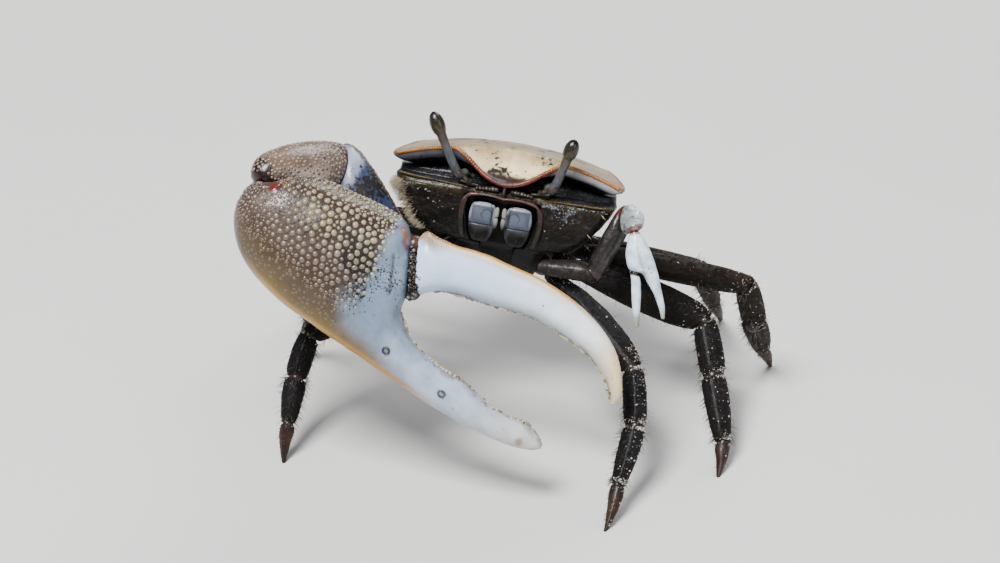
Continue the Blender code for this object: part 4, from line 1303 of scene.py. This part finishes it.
MINOR_HAND = [
    ((0.1, -0.65), (0.1, 0.65), 0.7, 0.7, 1, 0), ((1.2, -1.15), (1, 1.1), 1.05, 1, 1, 0),
    ((2.6, -1.6), (2.4, 1.55), 1.3, 1.2, 0.9, 0), ((4.1, -1.6), (4.2, 1.92), 1.35, 1.2, 0.85, 0),
    ((4.8, -1.2), (5.1, 2.05), 1.2, 1.1, 0.85, 0), ((5.4, 0.1), (6.1, 2.15), 0.95, 0.9, 0.9, 0),
    ((6.7, 0.6), (7.2, 2.2), 0.75, 0.7, 1, 0), ((8.2, 1.15), (8.6, 2.25), 0.6, 0.55, 1, 0),
    ((10.2, 1.5), (10.3, 2.25), 0.42, 0.4, 1, 0), ((11.4, 1.6), (11.5, 2), 0.26, 0.26, 1, 0),
]
MINOR_FINGER = [
    ((5.3, -1.4), (5.75, -0.25), 0.55, 0.5, 0.9, 0), ((6.6, -1.5), (6.7, -0.3), 0.62, 0.55, 1, 0),
    ((8.5, -1.75), (8.5, -0.6), 0.55, 0.5, 1, 0), ((10.3, -1.9), (10.3, -1), 0.45, 0.42, 1, 0),
    ((11.6, -1.9), (11.6, -1.35), 0.35, 0.33, 1, 0), ((12.1, -1.78), (12.1, -1.5), 0.22, 0.22, 1, 0),
]


def claw_matrix(origin, slope):
    """A claw's place in the stance: turned, leaned back and with its tips down by slope degrees."""
    turn = Matrix.Rotation(math.radians(8), 4, "Z") @ Matrix.Rotation(math.radians(60), 4, "X")
    return Matrix.Translation(origin) @ turn @ Matrix.Rotation(-math.radians(slope), 4, "Z")


MAJOR_CLAW = claw_matrix((-29.9, -21.6, 35.7), 40)
MINOR_CLAW = claw_matrix((17.3, -11.7, 29.3), 80.8)


def blade_ring(station, sides):
    """Ring of a hand or finger between its lower and upper edge points."""
    lower, upper, outer, inner, square, lean = station
    low, high = Vector((*lower, 0)), Vector((*upper, 0))
    middle, reach = (low + high) / 2, (high - low) / 2
    forward = Vector((reach.y, -reach.x, 0)).normalized()
    ring = []
    for angle in around(sides):
        across = signed_power(math.sin(angle), square)
        z = across * (outer if across > 0 else inner)
        along = reach * signed_power(math.cos(angle), square)
        ring.append(middle + along + Vector((0, 0, z)) + forward * lean * z)
    return ring


class Spread:
    """Keeps scattered places apart by the sum of their sizes."""

    def __init__(self, cell=1.2):
        self.cell = cell
        self.kept = {}

    def takes(self, place, size):
        key = [math.floor(value / self.cell) for value in place]
        for x in (-1, 0, 1):
            for y in (-1, 0, 1):
                for z in (-1, 0, 1):
                    near = self.kept.get((key[0] + x, key[1] + y, key[2] + z), ())
                    if any((place - other).length < size + reach for other, reach in near):
                        return False
        self.kept.setdefault(tuple(key), []).append((place.copy(), size))
        return True


def white_share(u, v):
    """Where the palm's brown granules give way to smooth blue-white shell."""
    border = 17.3 - 0.22 * max(0, v - 2) + 0.55 * max(0, -3 - v)
    soft = 1 + 1.6 * step(4, -1, v)
    return step(-soft, soft, u - border)


def near_spot(u, v, spot, radius, soft=0.6):
    return step(radius + soft, radius - soft, math.hypot(u - spot[0], v - spot[1]))


def near_line(u, v, start, end, width, soft):
    return step(width + soft, width - soft, line_distance(u, v, start, end))


def edge_of(stations, side, u):
    """Height at u of the line through the stations' lower (0) or upper (1) edge points."""
    edges = [station[side] for station in stations]
    for (u0, v0), (u1, v1) in zip(edges, edges[1:]):
        if u <= u1:
            return v0 + (v1 - v0) * max(0, (u - u0) / (u1 - u0))
    return edges[-1][1]


lower_edge = partial(edge_of, MAJOR_HAND[2:], 0)
upper_edge = partial(edge_of, MAJOR_HAND[10:], 1)
finger_bottom = partial(edge_of, MAJOR_FINGER[1:], 0)
finger_top = partial(edge_of, MAJOR_FINGER[1:], 1)


# Landmarks of the palm's outer face.
WRIST_SPOT = (1.1, 2.9)
WRIST_KNOB = (1.7, 4.5)
HINGE_PIT = (19.8, 8.3)
JOINT_SLIT = ((17.9, 6.1), (20.7, 2))


def palm_mud(u, v):
    return max(
        near_spot(u, v, (14.9, 2.9), 1.7, 1.5), 0.9 * near_spot(u, v, (12.3, 4), 0.9, 1.2),
        0.7 * near_spot(u, v, (17.6, -0.2), 1, 1.6),
    )


def paint_palm(point, normal):
    u, v, z = point
    patch = clouds(point, 2.2) + 0.5 * clouds(point, 0.7)
    white = white_share(u + 0.8 * patch, v)
    ground = blend((84, 66, 60), (106, 86, 76), step(3.5, -0.5, v + 0.5 * patch))
    ground = coats(
        ground,
        ((116, 90, 68), step(-1, -5, v) * 0.8),
        ((112, 92, 84), 0.6 * step(3, 0, u)),
    )
    shell = blend((160, 172, 186), (192, 199, 206), step(20, 34, u) + 0.3 * patch)
    shell = coats(
        shell,
        ((206, 206, 204), 0.8 * step(34, 46, u)),
        ((150, 140, 130), 0.6 * step(-2.5, -5.6, v) * step(27, 18, u)),
    )
    ground = blend(ground, (58, 48, 46), (0.75 + 0.3 * patch) * palm_mud(u, v))
    tint = blend(ground, shell, white)
    above = v - lower_edge(u)
    golden = step(2.6, 0.8, above) * step(2, 9, u) * step(31, 22, u)
    tint = blend(tint, (150, 112, 50), 0.8 * golden)
    strip = step(1, 0.35, above) * step(3, 8, u) * step(36, 27, u)
    tint = blend(tint, (196, 142, 46), 0.9 * strip)
    if z < 0:
        tint = blend(tint, (176, 160, 138), 0.5)
    tint = coats(
        tint,
        ((156, 96, 58), near_spot(u, v, WRIST_KNOB, 0.7)),
        ((150, 42, 36), near_spot(u, v, WRIST_SPOT, 0.55, 0.35)),
        ((180, 98, 52), 0.85 * near_line(u, v, (16.7, 9.3), (17.7, 8.7), 0.35, 0.3)),
        ((152, 54, 38), 0.85 * near_line(u, v, (17.9, 8.1), (18.6, 7.7), 0.3, 0.3)),
        (MUD, near_spot(u, v, HINGE_PIT, 0.5, 0.3) * (z > 0)),
    )
    slit = near_line(u, v, *JOINT_SLIT, 0.14, 0.14) * (z > 0)
    tint = blend(tint, (64, 56, 54), 0.85 * slit)
    for spot in ((24.9, -3.8), (33.7, -3.5)):
        distance = math.hypot(u - spot[0], (v - spot[1]) * 1.15)
        ring = step(0.26, 0.1, abs(distance - 0.42)) * (z > 0)
        tint = coats(
            tint,
            ((62, 56, 52), 0.95 * ring),
            ((150, 146, 140), 0.8 * step(0.28, 0.1, distance) * (z > 0)),
        )
    tint = coats(
        tint,
        ((168, 134, 98), 0.7 * near_spot(u, v, (45, -1.9), 0.5, 0.3)),
        ((76, 66, 58), near_spot(u, v, (36, -4), 0.14, 0.08) * (z > 0)),
    )
    gape = step(22.5, 25, u) * step(1, 0.2, upper_edge(u) - v)
    tint = blend(tint, (140, 116, 92), 0.5 * gape * step(-0.2, 0.35, patch))
    mud = palm_mud(u, v) * (z > 0)
    return tint, 0.05 + 0.62 * mud + 0.15 * gape + 0.2 * (1 - white) * step(-2, 1, v)


def palm_relief(share, angle, point):
    u, v, z = point
    height = 0.1 * clouds(point, 3) + 0.03 * clouds(point, 0.8)
    if z > 0:
        height -= 0.3 * near_line(u, v, *JOINT_SLIT, 0.1, 0.25)
        height -= 0.55 * near_spot(u, v, HINGE_PIT, 0.4, 0.4)
        height += 0.35 * near_line(u, v, (19.4, 6.3), (22.4, 2.2), 0.4, 0.5)
        height += 0.3 * near_spot(u, v, (17.2, 8.9), 0.3, 0.4) + 0.25 * near_spot(u, v, (18.2, 7.9), 0.2, 0.3)
        height += 0.3 * near_spot(u, v, WRIST_SPOT, 0.3, 0.4) + 0.3 * near_spot(u, v, WRIST_KNOB, 0.4, 0.6)
        height -= 0.35 * near_line(u, v, (0.2, 2), (1.6, 3.7), 0.05, 0.2)
    return height


def granule_size(u, v, z):
    """Radius of the palm's granules, largest in the upper middle of the outer face."""
    if z < 0:
        return 0.32
    size = 0.46 - 0.12 * step(5.8, 8.4, v) - 0.08 * step(1.6, -3.4, v) - 0.14 * step(6, 1, u)
    return max(0.24, size - 0.12 * step(-2, 1.5, u - 17.3 + 0.22 * max(0, v - 2)))


def outer_face(tree, u, v):
    """Point and normal of the palm's outer face at a place."""
    return tree.ray_cast(Vector((u, v, 20)), -UP)[:2]


def add_granules(rings, tree):
    """Pearly granules over the palm, packed closely and fading out towards finger and lower edge."""
    granules, spread, skin = Shape(), Spread(), Skin(rings)
    places = []
    pitch = 0.96
    for row in range(-3, 13):
        for column in range(5, 24):
            u = column * pitch + 0.5 * pitch * (row % 2) + DRAW.uniform(-0.14, 0.14)
            v = row * pitch * 0.87 + DRAW.uniform(-0.14, 0.14)
            hit, normal = outer_face(tree, u, v)
            if hit and normal.z > 0.6:
                places.append((hit, normal))
    for number in range(34000):
        inner = number % 7 == 0
        corner = DRAW.uniform(62, 118) if inner else DRAW.uniform(-4, 64)
        places.append(skin.at(DRAW.uniform(4, 135), corner))
    for place, normal in places:
        u, v, z = place
        white = white_share(u, v)
        faded = step(-1, -4.6, v)
        if u < 0.9 and v > 2.2 or near_spot(u, v, WRIST_SPOT, 0.7, 0.1):
            continue
        if near_spot(u, v, (18, 8.3), 1, 0.1):
            continue
        if DRAW.random() < white * 1.2 or DRAW.random() < faded * 0.9 or v < lower_edge(u) + 0.9:
            continue
        size = granule_size(u, v, z) * DRAW.uniform(0.84, 1.08) * (1 - 0.3 * faded)
        small = not spread.takes(place, size * 0.94)
        if small:
            size *= 0.62
            if not spread.takes(place, size * 0.94):
                continue
        top = blend((186, 176, 150), (158, 140, 130), step(4, 0.5, v) + step(7, 2, u))
        top = coats(
            top,
            ((134, 112, 92), faded),
            ((194, 198, 198), white * 0.8 + 0.15 * step(9, 14, u) * step(-1, 3, v)),
            ((112, 96, 86), 0.4 * palm_mud(u, v) + 0.3 * DRAW.random()),
        )
        foot = blend((72, 56, 52), (106, 84, 70), faded)
        foot = blend(foot, (150, 156, 164), white)
        low = 0.62 - 0.3 * white - 0.34 * faded
        pebble(granules, place - normal * size * 0.16, normal, size, low, 1 if small else 2, top, foot, 0.1)
    place_piece("palm_granules", granules, STANCE @ MAJOR_CLAW, PEARL_SHELL)
    specks = Shape()
    for number in range(620):
        u, v = (16.6, 0.4) if number % 3 else (19.2, 3.4)
        u, v = DRAW.gauss(u, 1.3), DRAW.gauss(v, 1.9 if number % 3 else 1.2)
        hit, normal = outer_face(tree, u, v)
        if hit and normal.z > 0.5:
            tint = blend((40, 36, 34), (84, 74, 68), DRAW.random())
            grain(specks, hit, normal, 0.04 + 0.1 * DRAW.random() ** 2, tint)
    place_piece("palm_specks", specks, STANCE @ MAJOR_CLAW, GRAINS)


def paint_finger(point, normal):
    """Blue-white upper finger with an orange upper line and a dirty joint."""
    u, v, z = point
    patch = clouds(point, 2.2) + 0.5 * clouds(point, 0.7)
    tint = blend((204, 212, 222), (216, 219, 222), step(26, 42, u) + 0.25 * patch)
    tint = blend(tint, CLAW_CREAM, step(42, 49, u))
    above = finger_top(u) - v
    tint = coats(
        tint,
        ((204, 186, 140), 0.6 * step(1.5, 0.6, above) * step(42, 34, u)),
        ((204, 150, 56), 0.9 * step(0.6, 0.2, above) * step(46, 38, u)),
        ((172, 132, 84), 0.75 * step(23.6, 20, u + 0.6 * patch) * step(8.8, 10.2, v)),
    )
    mud = near_line(u, v, (19, 8.2), (23.4, 3.4), 0.5, 1) * (z > 0)
    bottom = v - finger_bottom(u)
    tint = blend(tint, (176, 178, 182), 0.45 * step(2, 0.4, bottom) * step(24, 27, u))
    gape = step(0.6, 0.1, bottom) * step(26, 28, u)
    tint = blend(tint, (134, 108, 84), 0.55 * gape * step(-0.2, 0.3, patch))
    return tint, 0.05 + 0.5 * mud + 0.15 * gape


def add_teeth(teeth, rings, first, last, corner, count, big):
    """Irregular blunt teeth along one edge of a finger; big holds the larger ones' places."""
    skin = Skin(rings)
    for number in range(count):
        share = (number + DRAW.uniform(-0.3, 0.3)) / (count - 1)
        along = first + (last - first) * min(max(share, 0), 1)
        size = DRAW.uniform(0.18, 0.31)
        for place, extra in big:
            size += extra * peak(share - place, 0.035)
        place, out = skin.at(along, corner + DRAW.uniform(-1.5, 1.5))
        top = blend((206, 204, 196), (150, 124, 96), DRAW.random() ** 2)
        pebble(teeth, place - out * size * 0.25, out, size, 1, 2, top, (96, 80, 66), 0.2)


# Larger teeth of palm and finger: share along the edge and extra size.
PALM_TEETH = [(0.08, 0.2), (0.34, 0.25), (0.42, 0.2), (0.8, 0.2)]
FINGER_TEETH = [(0.12, 0.16), (0.3, 0.24), (0.55, 0.3), (0.62, 0.2), (0.9, 0.2)]
MUD_COLOURS = [(56, 48, 43), (72, 62, 54), (104, 94, 84), (160, 156, 150)]


def add_great_claw():
    """Great claw with its granules, teeth, joint skins and the mud in its joint."""
    rings = finer([blade_ring(station, 120) for station in MAJOR_HAND], 250, 120)
    rings = rounded_ends(carved(rings, palm_relief), 0.12, 0.15)
    shape = painted(loft(rings), paint_palm)
    tree = BVHTree.FromBMesh(shape.mesh)
    matrix = STANCE @ MAJOR_CLAW
    place_piece("great_palm_shell", shape, matrix, PALM_SHELL, ["major_claw_propodus"])
    add_granules(rings, tree)
    teeth = Shape()
    add_teeth(teeth, rings, 142, 246, 0, 74, PALM_TEETH)
    finger = finer([blade_ring(station, 72) for station in MAJOR_FINGER], 170, 72)
    finger = carved(finger, lambda share, angle, point: 0.09 * clouds(point, 2.6) + 0.02 * clouds(point, 0.7))
    finger = rounded_ends(finger, 0.12, 0.12)
    shape = painted(loft(finger), paint_finger)
    place_piece("great_finger_shell", shape, matrix, FINGER_SHELL, ["major_claw_dactyl"])
    add_teeth(teeth, finger, 34, 166, 36, 78, FINGER_TEETH)
    place_piece("great_claw_teeth", teeth, matrix, PEARL_SHELL)
    beads, spread, skin = Shape(), Spread(0.8), Skin(finger)
    for _ in range(900):
        place, out = skin.at(DRAW.uniform(4, 46), DRAW.uniform(-12, 9))
        u, v, _ = place
        reach = step(22.6, 20.4, u - 0.3 * (v - 9)) * step(6, 8, v)
        size = 0.2 * DRAW.uniform(0.8, 1.1)
        if DRAW.random() > reach or not spread.takes(place, size * 0.95):
            continue
        tint = blend((208, 202, 190), (184, 164, 134), DRAW.random())
        pebble(beads, place - out * size * 0.35, out, size, 0.55, 2, tint, (170, 152, 128), 0.1)
    place_piece("great_finger_granules", beads, matrix, PEARL_SHELL)
    skins = Shape()
    for place, size, low, tint in (
        ((20.7, 6.2, 0.3), 2.1, 0.8, (60, 50, 46)), ((19, 8.6, 0.4), 1.2, 0.9, (110, 60, 46)),
        ((22.2, 4, 0.3), 1.4, 0.8, (60, 50, 46)), ((-0.4, 1.9, -0.2), 1.1, 0.9, (96, 36, 30)),
    ):
        pebble(skins, Vector(place), UP, size, low, 4, tint, tint, 0.2)
    place_piece("great_claw_joint_skins", skins, matrix, JOINT_SKIN)
    crumbs = Shape()
    for _ in range(260):
        share = DRAW.random()
        u = 19.2 + 3.9 * share + DRAW.gauss(0, 0.3)
        v = 8.1 - 4.6 * share + DRAW.gauss(0, 0.35)
        tint = DRAW.choice(MUD_COLOURS)
        grain(crumbs, Vector((u, v, DRAW.uniform(1.3, 2.3))), UP, DRAW.uniform(0.1, 0.26), tint)
    place_piece("great_claw_mud", crumbs, matrix, GRAINS)


# Claw arms.

ARM_SIDES = 56
ARM_END = 0.14
SHOULDER = (6.2, -6.9, -11.6)
MAJOR_ELBOWS = [(-12, -12.6, 24), (-21.4, -10.6, 35.3)]
MINOR_ELBOWS = [(12, -11.7, 22.9), (15.8, -8.8, 30)]
ARM_ROOT = [(0, 1.3, 1.2, 0), (0.35, 1.6, 1.5, 0), (0.8, 1.8, 1.7, 0), (1, 1.6, 1.5, 0)]
MAJOR_ARM = [
    (0, 2, 1.8, 0), (0.12, 2.4, 2.2, 0), (0.35, 3.1, 2.7, 0), (0.62, 3.7, 3.1, 0),
    (0.82, 3.9, 3.1, 0), (0.94, 3.5, 2.8, 0), (1, 2.8, 2.4, 0),
]
MAJOR_CARPUS = [
    (0, 2.7, 2.4, 0), (0.12, 3.1, 2.8, 0.3), (0.35, 3.4, 3.2, 0.8), (0.6, 3.1, 3.1, 1.3),
    (0.8, 2.3, 2.4, 1.5), (0.93, 1.5, 1.7, 1), (1, 1, 1.2, 0.2),
]
MINOR_ARM = [
    (0, 1.2, 1.1, 0), (0.15, 1.45, 1.2, 0), (0.5, 1.7, 1.3, 0.1), (0.85, 1.6, 1.3, 0.1),
    (1, 1.15, 1, 0),
]
MINOR_CARPUS = [
    (0, 1, 0.9, 0), (0.2, 1.5, 1.3, 0.2), (0.55, 1.75, 1.5, 0.4), (0.85, 1.3, 1.2, 0.2),
    (1, 0.8, 0.75, 0),
]


def wrist_of(matrix, station, after):
    """Wrist point and plane normal of a hand, in the stance."""
    ring, inside = blade_ring(station, 16), centre_of(blade_ring(after, 16))
    middle = centre_of(ring)
    normal = (ring[0] - ring[8]).cross(ring[4] - ring[12]).normalized()
    if normal.dot(inside - middle) < 0:
        normal.negate()
    return matrix @ (middle - normal * GAP / 2), matrix.to_3x3() @ normal


ARM_FACING = Vector((0.12, -0.86, 0.5))


def paint_great_arm(piece, start, end):
    axis = end - start

    def paint(point, normal):
        share = share_along(point, start, axis)
        patch = clouds(point, 2) + 0.5 * clouds(point, 0.6)
        facing = normal.dot(ARM_FACING)
        if piece == "ischium":
            return blend(FACE_BROWN, (84, 80, 86), 0.5 + 0.5 * patch), 0.4
        if piece == "merus":
            tint = blend((92, 108, 146), (68, 80, 114), 0.4 + 0.6 * patch)
            pale = step(0.82, 0.96, share + 0.12 * patch) * step(0.2, 0.6, facing)
            tint = blend(tint, (188, 192, 202), 0.75 * pale)
            edge = step(0.5, 0.2, facing + 0.12 * patch) * step(-0.3, 0.2, normal.z + 0.4 * normal.x)
            tint = blend(tint, (116, 90, 70), edge)
            mud = peak(share - 0.7, 0.17) * step(0.1, 0.5, facing)
            return tint, 0.08 + 0.48 * mud + 0.12 * edge + 0.25 * step(0.3, 0.1, share)
        tint = blend(MAUVE, (168, 154, 147), 0.45 + 0.6 * patch)
        sheen = peak(share - 0.55, 0.24) * step(0.3, 0.75, facing) * step(0.6, 0.1, normal.z)
        tint = coats(
            tint,
            ((206, 200, 198), 0.85 * sheen),
            ((156, 112, 84), 0.45 * step(0.4, 0.75, share) * step(0.2, 0.7, normal.z)),
            ((132, 56, 44), step(0.8, 0.88, share) * step(0.3, -0.2, normal.z)),
            ((58, 42, 38), step(0.92, 0.96, share)),
            ((120, 48, 38), 0.8 * step(0.05, 0, share)),
        )
        return tint, 0.12 + 0.15 * patch + 0.2 * step(0.2, 0.05, share)

    return paint


def paint_small_arm(piece, start, end):
    axis = end - start

    def paint(point, normal):
        share = share_along(point, start, axis)
        patch = clouds(point, 1.2) + 0.5 * clouds(point, 0.4)
        if piece == "ischium":
            return blend(FACE_BROWN, (72, 66, 64), 0.5 + 0.5 * patch), 0.4
        if piece == "merus":
            tint = blend((48, 45, 46), (92, 86, 84), 0.35 + 0.6 * patch)
            return blend(tint, (140, 60, 44), 0.7 * step(0.93, 1, share)), 0.35
        crack = step(0.1, 0.03, abs(clouds(point, 1.1)))
        tint = blend((208, 213, 216), (174, 172, 166), 0.45 + 0.5 * patch)
        tint = coats(
            tint,
            ((70, 62, 58), 0.7 * crack),
            ((88, 78, 72), 0.6 * step(0.2, -0.3, normal.x)),
        )
        return blend(tint, (150, 76, 52), 0.7 * step(0.94, 1, share)), 0.16

    return paint


def arm_relief(share, angle, point):
    return 0.08 * math.sin(math.pi * share) * clouds(point, 1.6)


def add_arm(side, kind, elbows, matrix, stations, profiles, material_of, paint_of):
    """Three arm pieces from the shoulder to a hand's wrist."""
    sign = SIDES[side]
    x, y, z = SHOULDER
    wrist, wrist_plane = wrist_of(matrix, stations[0], stations[1])
    joints = [BODY_IN_STANCE @ Vector((sign * x, y, z))] + [Vector(place) for place in elbows] + [wrist]
    outward = BODY_IN_STANCE.to_3x3() @ Vector((sign * 0.8, -0.6, 0))
    run = (joints[3] - joints[2]).normalized()
    planes = chain_planes(joints, outward, (wrist_plane + run * 0.35).normalized())
    up = matrix.to_3x3() @ Vector((-0.5, 0.75, -0.4))
    skins = Shape()
    made = {}
    for place, piece in enumerate(("ischium", "merus", "carpus")):
        start, end = joints[place : place + 2]
        rings = limb_rings(start, end, planes[place : place + 2], False, profiles[place], up, ARM_SIDES)
        rings = rounded_ends(carved(finer(rings, 60, ARM_SIDES), arm_relief), ARM_END, ARM_END)
        name = f"{kind}_claw_{piece}"
        shape = painted(loft(rings), paint_of(piece, start, end))
        material, slot = material_of[piece]
        place_piece(name + "_shell", shape, STANCE, material, [name])
        made[piece] = rings
        if place:
            size = profiles[place][0][2] * 0.93
            tint = blend((110, 44, 36), (80, 54, 46), DRAW.random())
            pebble(skins, start, (end - start).normalized(), size, 0.85, 4, tint, tint, 0.2)
    place_piece(f"{kind}_arm_joint_skins", skins, STANCE, JOINT_SKIN)
    return made


def add_arm_granules(made):
    """Small pearly granules on the great arm's carpus and along the upper edge of its merus."""
    beads, spread = Shape(), Spread(0.8)
    for piece, tries in (("carpus", 6000), ("merus", 3500)):
        skin = Skin(made[piece])
        for _ in range(tries):
            share = DRAW.uniform(0.04, 0.95)
            place, out = skin.at(skin.row_at(share), DRAW.uniform(0, ARM_SIDES))
            facing = out.dot(ARM_FACING)
            if piece == "merus":
                wanted = step(0.5, 0.25, facing) * step(-0.2, 0.2, out.z + 0.4 * out.x)
                size, tint = 0.2, blend((150, 122, 94), (100, 76, 60), DRAW.random())
            else:
                smooth = peak(share - 0.45, 0.16) * step(0.5, 0.85, facing)
                wanted = step(-0.5, 0, facing) * (1 - 0.7 * smooth) * step(0.88, 0.84, share)
                size, tint = 0.24, blend((184, 174, 160), (136, 112, 100), DRAW.random())
            size *= DRAW.uniform(0.75, 1.15)
            if DRAW.random() > wanted or not spread.takes(place, size):
                continue
            pebble(beads, place - out * size * 0.25, out, size, 0.6, 2, tint, (92, 70, 64), 0.1)
    place_piece("arm_granules", beads, STANCE, PEARL_SHELL)


def add_arms():
    both = {"ischium": (BELLY_SHELL, "face"), "merus": (ARM_SHELL, "arm")}
    great = {**both, "carpus": (CARPUS_SHELL, "carpus")}
    profiles = [ARM_ROOT, MAJOR_ARM, MAJOR_CARPUS]
    made = add_arm("right", "major", MAJOR_ELBOWS, MAJOR_CLAW, MAJOR_HAND, profiles, great, paint_great_arm)
    add_arm_granules(made)
    small = {**both, "carpus": (FINGER_SHELL, "white_claw")}
    profiles = [scaled(ARM_ROOT, 0.75), MINOR_ARM, MINOR_CARPUS]
    add_arm("left", "minor", MINOR_ELBOWS, MINOR_CLAW, MINOR_HAND, profiles, small, paint_small_arm)


def add_small_claw():
    """White feeding claw with an orange-brown seam and tan finger tips."""

    def paint(point, normal):
        u, v, _ = point
        patch = clouds(point, 1) + 0.4 * clouds(point, 0.3)
        tint = blend((214, 222, 230), (190, 198, 206), 0.35 + 0.6 * patch)
        seam = step(0.2, 0.06, abs(v + 0.35 - 0.12 * u + 0.15 * patch))
        seam *= step(1, 2.2, u) * step(6, 4.8, u)
        hinge = near_line(u, v, (4.7, -1.9), (5.9, 0.2), 0.18, 0.16)
        tint = coats(
            tint,
            ((144, 100, 56), 0.45 * seam + 0.9 * hinge),
            ((170, 144, 104), 0.8 * step(9.4, 11.6, u)),
        )
        return blend(tint, (160, 84, 58), 0.8 * step(0.5, 0.15, u)), 0.1

    matrix = STANCE @ MINOR_CLAW
    teeth = Shape()
    for name, node, stations, rows, corner in (
        ("small_hand_shell", "minor_claw_propodus", MINOR_HAND, 100, 0.5),
        ("small_finger_shell", "minor_claw_dactyl", MINOR_FINGER, 70, 0),
    ):
        rings = finer([blade_ring(station, 40) for station in stations], rows, 40)
        rings = carved(rings, lambda share, angle, point: 0.03 * clouds(point, 0.9))
        rings = rounded_ends(rings, 0.1, 0.08)
        place_piece(name, painted(loft(rings), paint), matrix, FINGER_SHELL, [node])
        skin = Skin(rings)
        for number in range(16):
            along = rows * (0.58 + 0.36 * number / 15) if corner else rows * (0.2 + 0.7 * number / 15)
            place, out = skin.at(along, 40 * corner)
            tint = blend((104, 84, 66), (180, 168, 146), DRAW.random())
            pebble(teeth, place, out, DRAW.uniform(0.07, 0.12), 0.9, 2, tint, (84, 68, 54), 0.2)
    red = (140, 64, 48)
    pebble(teeth, Vector((0.1, 0, 0)), Vector((1, 0, 0)), 0.52, 0.8, 3, red, red)
    pebble(teeth, Vector((5.1, -0.9, 0)), Vector((1, 0, 0)), 0.5, 0.8, 3, (120, 92, 70), MUD)
    place_piece("small_claw_teeth", teeth, matrix, PEARL_SHELL)


# Floor, light and camera.


def add_studio():
    shape = bmesh.new()
    bmesh.ops.create_grid(shape, x_segments=1, y_segments=1, size=4)
    data = bpy.data.meshes.new("studio_floor")
    shape.to_mesh(data)
    shape.free()
    floor = bpy.data.objects.new("studio_floor", data)
    bpy.context.scene.collection.objects.link(floor)
    nodes = Nodes("studio_floor_paper")
    tone = nodes.ramp(nodes.noise(60, 2), 0.2, 0.8, 0.96, 1)
    paper = nodes.mix(1, Vector((0.6, 0.59, 0.57)), tone, "MULTIPLY")
    nodes.set_shader({"Base Color": paper, "Roughness": 0.75})
    data.materials.append(nodes.material)

    world = bpy.data.worlds.new("studio")
    bpy.context.scene.world = world
    world.use_nodes = True
    sky = world.node_tree.nodes["Background"]
    sky.inputs["Color"].default_value = (0.86, 0.9, 1, 1)
    sky.inputs["Strength"].default_value = 0.32

    for name, place, size, power in (
        ("key", (-0.16, -0.3, 0.66), 0.26, 13),
        ("fill", (0.6, -0.5, 0.4), 0.5, 1.6),
        ("back", (0.2, 0.55, 0.5), 0.4, 4),
    ):
        lamp = bpy.data.lights.new(name, "AREA")
        lamp.size = size
        lamp.energy = power
        item = bpy.data.objects.new(name, lamp)
        item.location = place
        item.rotation_euler = (Vector(place) - Vector((0, 0, 0.02))).to_track_quat("Z", "Y").to_euler()
        bpy.context.scene.collection.objects.link(item)


def add_camera():
    """Camera 30 degrees above the floor and 8 degrees round to the crab's left."""
    target = Vector((-1.65, -1.02, 18.34)) * MM
    way = Vector((0.1205, -0.8576, 0.5))
    lens = bpy.data.cameras.new("camera")
    lens.lens = 109.44
    lens.sensor_width = 36
    lens.clip_start = 0.01
    camera = bpy.data.objects.new("camera", lens)
    camera.location = target + way * 0.4
    camera.rotation_euler = way.to_track_quat("Z", "Y").to_euler()
    bpy.context.scene.collection.objects.link(camera)
    bpy.context.scene.camera = camera


add_carapace()
add_trunk()
add_face()
add_mouth()
add_eyes()
add_feelers()
add_tail()
add_legs()
add_great_claw()
add_arms()
add_small_claw()
add_studio()
add_camera()
